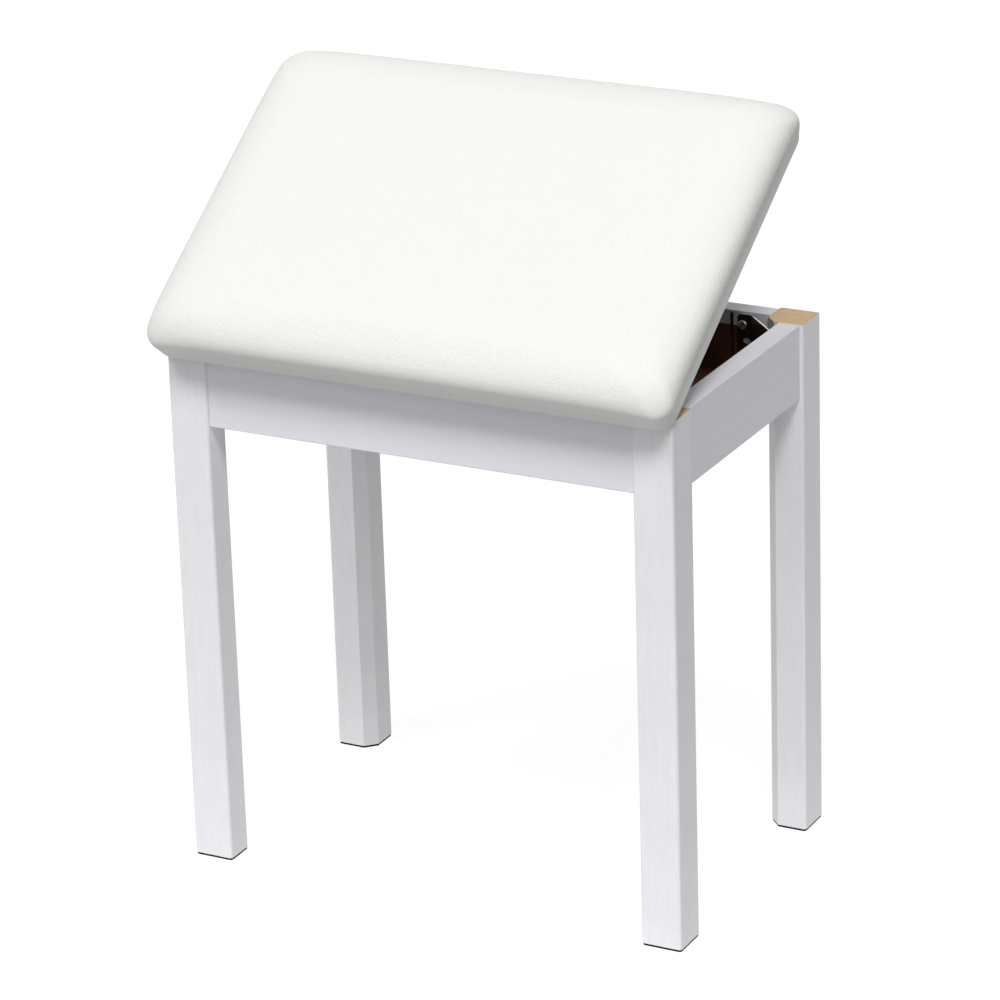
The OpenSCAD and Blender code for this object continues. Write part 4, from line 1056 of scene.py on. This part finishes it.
class BENCH_OT_staples(bpy.types.Operator):
    """Make the staples that hold the dust cloth"""
    bl_idname = "bench.staples"
    bl_label = "Staples"

    def execute(self, context):
        cloth = context.scene.bench_cloth
        colours = context.scene.bench_colours
        low, high = closed_box("dust_cloth")
        inset = cloth.staple_inset
        x0, y0, x1, y1 = low[0] + inset, low[1] + inset, high[0] - inset, high[1] - inset
        across = np.linspace(x0, x1, round((x1 - x0) / cloth.staple_pitch) + 1)
        back = np.linspace(y0, y1, round((y1 - y0) / cloth.staple_pitch) + 1)[1:-1]
        spots = np.concatenate([
            np.stack([across, np.full(len(across), y0), np.zeros(len(across))], -1),
            np.stack([across, np.full(len(across), y1), np.zeros(len(across))], -1),
            np.stack([np.full(len(back), x0), back, np.full(len(back), math.pi / 2)], -1),
            np.stack([np.full(len(back), x1), back, np.full(len(back), math.pi / 2)], -1)])
        spots = spots[clear_of(spots[:, :2], ["seat_bumpers", "stay_seat_bracket"], cloth.staple_crown)]
        chance = np.random.default_rng(STAPLE_SEED)
        angle = spots[:, 2] + chance.normal(0, STAPLE_TURN, len(spots))
        c, s, o = np.cos(angle), np.sin(angle), np.zeros(len(angle))
        turns = np.stack([np.stack([c, -s, o], -1), np.stack([s, c, o], -1), np.stack([o, o, o + 1], -1)], 1)
        places = np.stack([spots[:, 0], spots[:, 1], np.full(len(spots), low[2] - cloth.staple_wire / 2)], -1)
        points, faces = staple_shape(cloth.staple_crown, cloth.staple_leg, cloth.staple_wire)
        points, faces = copies(points, faces, (turns, places))
        wire = plated_steel("galvanised_wire", colours.nickel, colours.nickel_dull, [1.0 * MM] * 3, 0.3)
        make_piece("dust_cloth_staples", opened(points), faces, wire, "seat", (), 60)
        return {"FINISHED"}


class BENCH_OT_stage(bpy.types.Operator):
    """Make the floor, the light and the camera"""
    bl_idname = "bench.stage"
    bl_label = "Stage"

    def execute(self, context):
        studio = context.scene.bench_studio
        make_floor(studio)
        make_world(studio.fill)
        for name, (comes_from, spread) in LAMPS.items():
            make_sun(name, getattr(studio, name), comes_from, math.radians(spread))
        data = bpy.data.cameras.new("photo_camera")
        data.lens, data.sensor_width, data.clip_end = studio.lens, SENSOR_WIDTH, FAR_CLIP
        camera = bpy.data.objects.new("photo_camera", data)
        camera.matrix_world = camera_matrix(studio)
        context.scene.collection.objects.link(camera)
        context.scene.camera = camera
        context.scene.view_settings.view_transform = "Standard"
        return {"FINISHED"}


def make_sun(name, strength, comes_from, softness):
    """A distant lamp with soft shadows."""
    lamp = bpy.data.lights.new(name, "SUN")
    lamp.energy, lamp.angle = strength, softness
    sun = bpy.data.objects.new(name, lamp)
    sun.rotation_euler = Vector(comes_from).to_track_quat("Z", "Y").to_euler()
    bpy.context.scene.collection.objects.link(sun)


def camera_matrix(studio):
    """The camera's place and turn: the line of sight from yaw and pitch, then the roll about it."""
    level = math.cos(studio.pitch)
    ahead = Vector((-math.sin(studio.yaw) * level, math.cos(studio.yaw) * level, -math.sin(studio.pitch)))
    right = Vector((math.cos(studio.yaw), math.sin(studio.yaw), 0))
    up = right.cross(ahead)
    c, s = math.cos(studio.roll), math.sin(studio.roll)
    across, upward = c * right + s * up, c * up - s * right
    turn = Matrix((across, upward, -ahead)).transposed().to_4x4()
    return Matrix.Translation(studio.camera_at) @ turn


def seen_directly(tree):
    """1 for what the camera, a mirror or glass sees, and 0 for the light that the surface gives off."""
    path = add(tree, "LightPath")
    mirrored = add(tree, "Math", {0: path["Is Glossy Ray"], 1: path["Is Transmission Ray"]},
                   operation="MAXIMUM")[0]
    return add(tree, "Math", {0: path["Is Camera Ray"], 1: mirrored}, operation="MAXIMUM")[0]


def make_floor(studio):
    """A white floor. The camera sees it white, with a trace of the bench's shadow. The light that it gives
    back to the bench fades with the distance from the bench, as over a lit sweep of paper."""
    corners = [(x * FLOOR_HALF, y * FLOOR_HALF, 0) for x, y in ((-1, -1), (1, -1), (1, 1), (-1, 1))]
    floor = new_object("floor", corners, [(0, 1, 2, 3)])
    material, tree, at = new_material("matte_white_sweep")
    away = add(tree, "VectorMath", {0: at}, operation="LENGTH")["Value"]
    share = add(tree, "Math", {0: away, 1: studio.bounce_reach}, operation="DIVIDE")[0]
    square = add(tree, "Math", {0: share, 1: share, 2: 1.0}, operation="MULTIPLY_ADD")[0]
    near = add(tree, "Math", {0: studio.bounce - studio.bounce_far, 1: square}, operation="DIVIDE")[0]
    strength = add(tree, "Math", {0: near, 1: studio.bounce_far}, operation="ADD")[0]
    given = add(tree, "Emission", {"Strength": strength})
    soft = add(tree, "BsdfDiffuse", {"Color": (FLOOR_SHADE, FLOOR_SHADE, FLOOR_SHADE, 1)})
    glow = add(tree, "Emission", {"Strength": FLOOR_GLOW})
    white = add(tree, "AddShader", {0: soft[0], 1: glow[0]})
    mix = add(tree, "MixShader", {0: seen_directly(tree), 1: given[0], 2: white[0]})
    add(tree, "OutputMaterial", {"Surface": mix[0]})
    floor.data.materials.append(material)


def make_world(fill):
    """An even light from all round. What is seen directly of it is white."""
    world = bpy.data.worlds.new("studio")
    bpy.context.scene.world = world
    tree = empty_tree(world)
    light = add(tree, "Background", {"Color": (1, 1, 1, 1), "Strength": fill})
    white = add(tree, "Background", {"Color": (1, 1, 1, 1), "Strength": 1.0})
    mix = add(tree, "MixShader", {0: seen_directly(tree), 1: light[0], 2: white[0]})
    add(tree, "OutputWorld", {"Surface": mix[0]})


STEPS = (BENCH_OT_stage, BENCH_OT_wood, BENCH_OT_fittings, BENCH_OT_pads, BENCH_OT_screws, BENCH_OT_bolts,
         BENCH_OT_seat_cover, BENCH_OT_dust_cloth, BENCH_OT_staples)
GROUPS = {"bench_seat": BenchSeatShape, "bench_cloth": BenchCloth, "bench_fittings": BenchFittings,
          "bench_rails": BenchRails, "bench_pads": BenchPads, "bench_colours": BenchColours,
          "bench_studio": BenchStudio}


class BENCH_PT_panel(bpy.types.Panel):
    """Lists the bench's pieces and settings in the sidebar"""
    bl_idname = "BENCH_PT_panel"
    bl_label = "Storage Piano Bench"
    bl_space_type = "VIEW_3D"
    bl_region_type = "UI"
    bl_category = "Bench"

    def draw(self, context):
        for step in STEPS:
            self.layout.operator(step.bl_idname)
        for group in GROUPS:
            settings = getattr(context.scene, group)
            for name in settings.bl_rna.properties.keys():
                if name not in ("rna_type", "name"):
                    self.layout.prop(settings, name)


def register():
    """Registers the classes and hangs the settings on the scene."""
    for item in (*GROUPS.values(), *STEPS, BENCH_PT_panel):
        bpy.utils.register_class(item)
    for name, group in GROUPS.items():
        setattr(bpy.types.Scene, name, PointerProperty(type=group))


def unregister():
    """Takes the settings and the classes away again."""
    for name in GROUPS:
        delattr(bpy.types.Scene, name)
    for item in (BENCH_PT_panel, *reversed(STEPS), *GROUPS.values()):
        bpy.utils.unregister_class(item)


def main():
    """Registers the classes and makes every piece in order."""
    register()
    for step in STEPS:
        group, name = step.bl_idname.split(".")
        getattr(getattr(bpy.ops, group), name)()


if __name__ == "__main__":
    main()
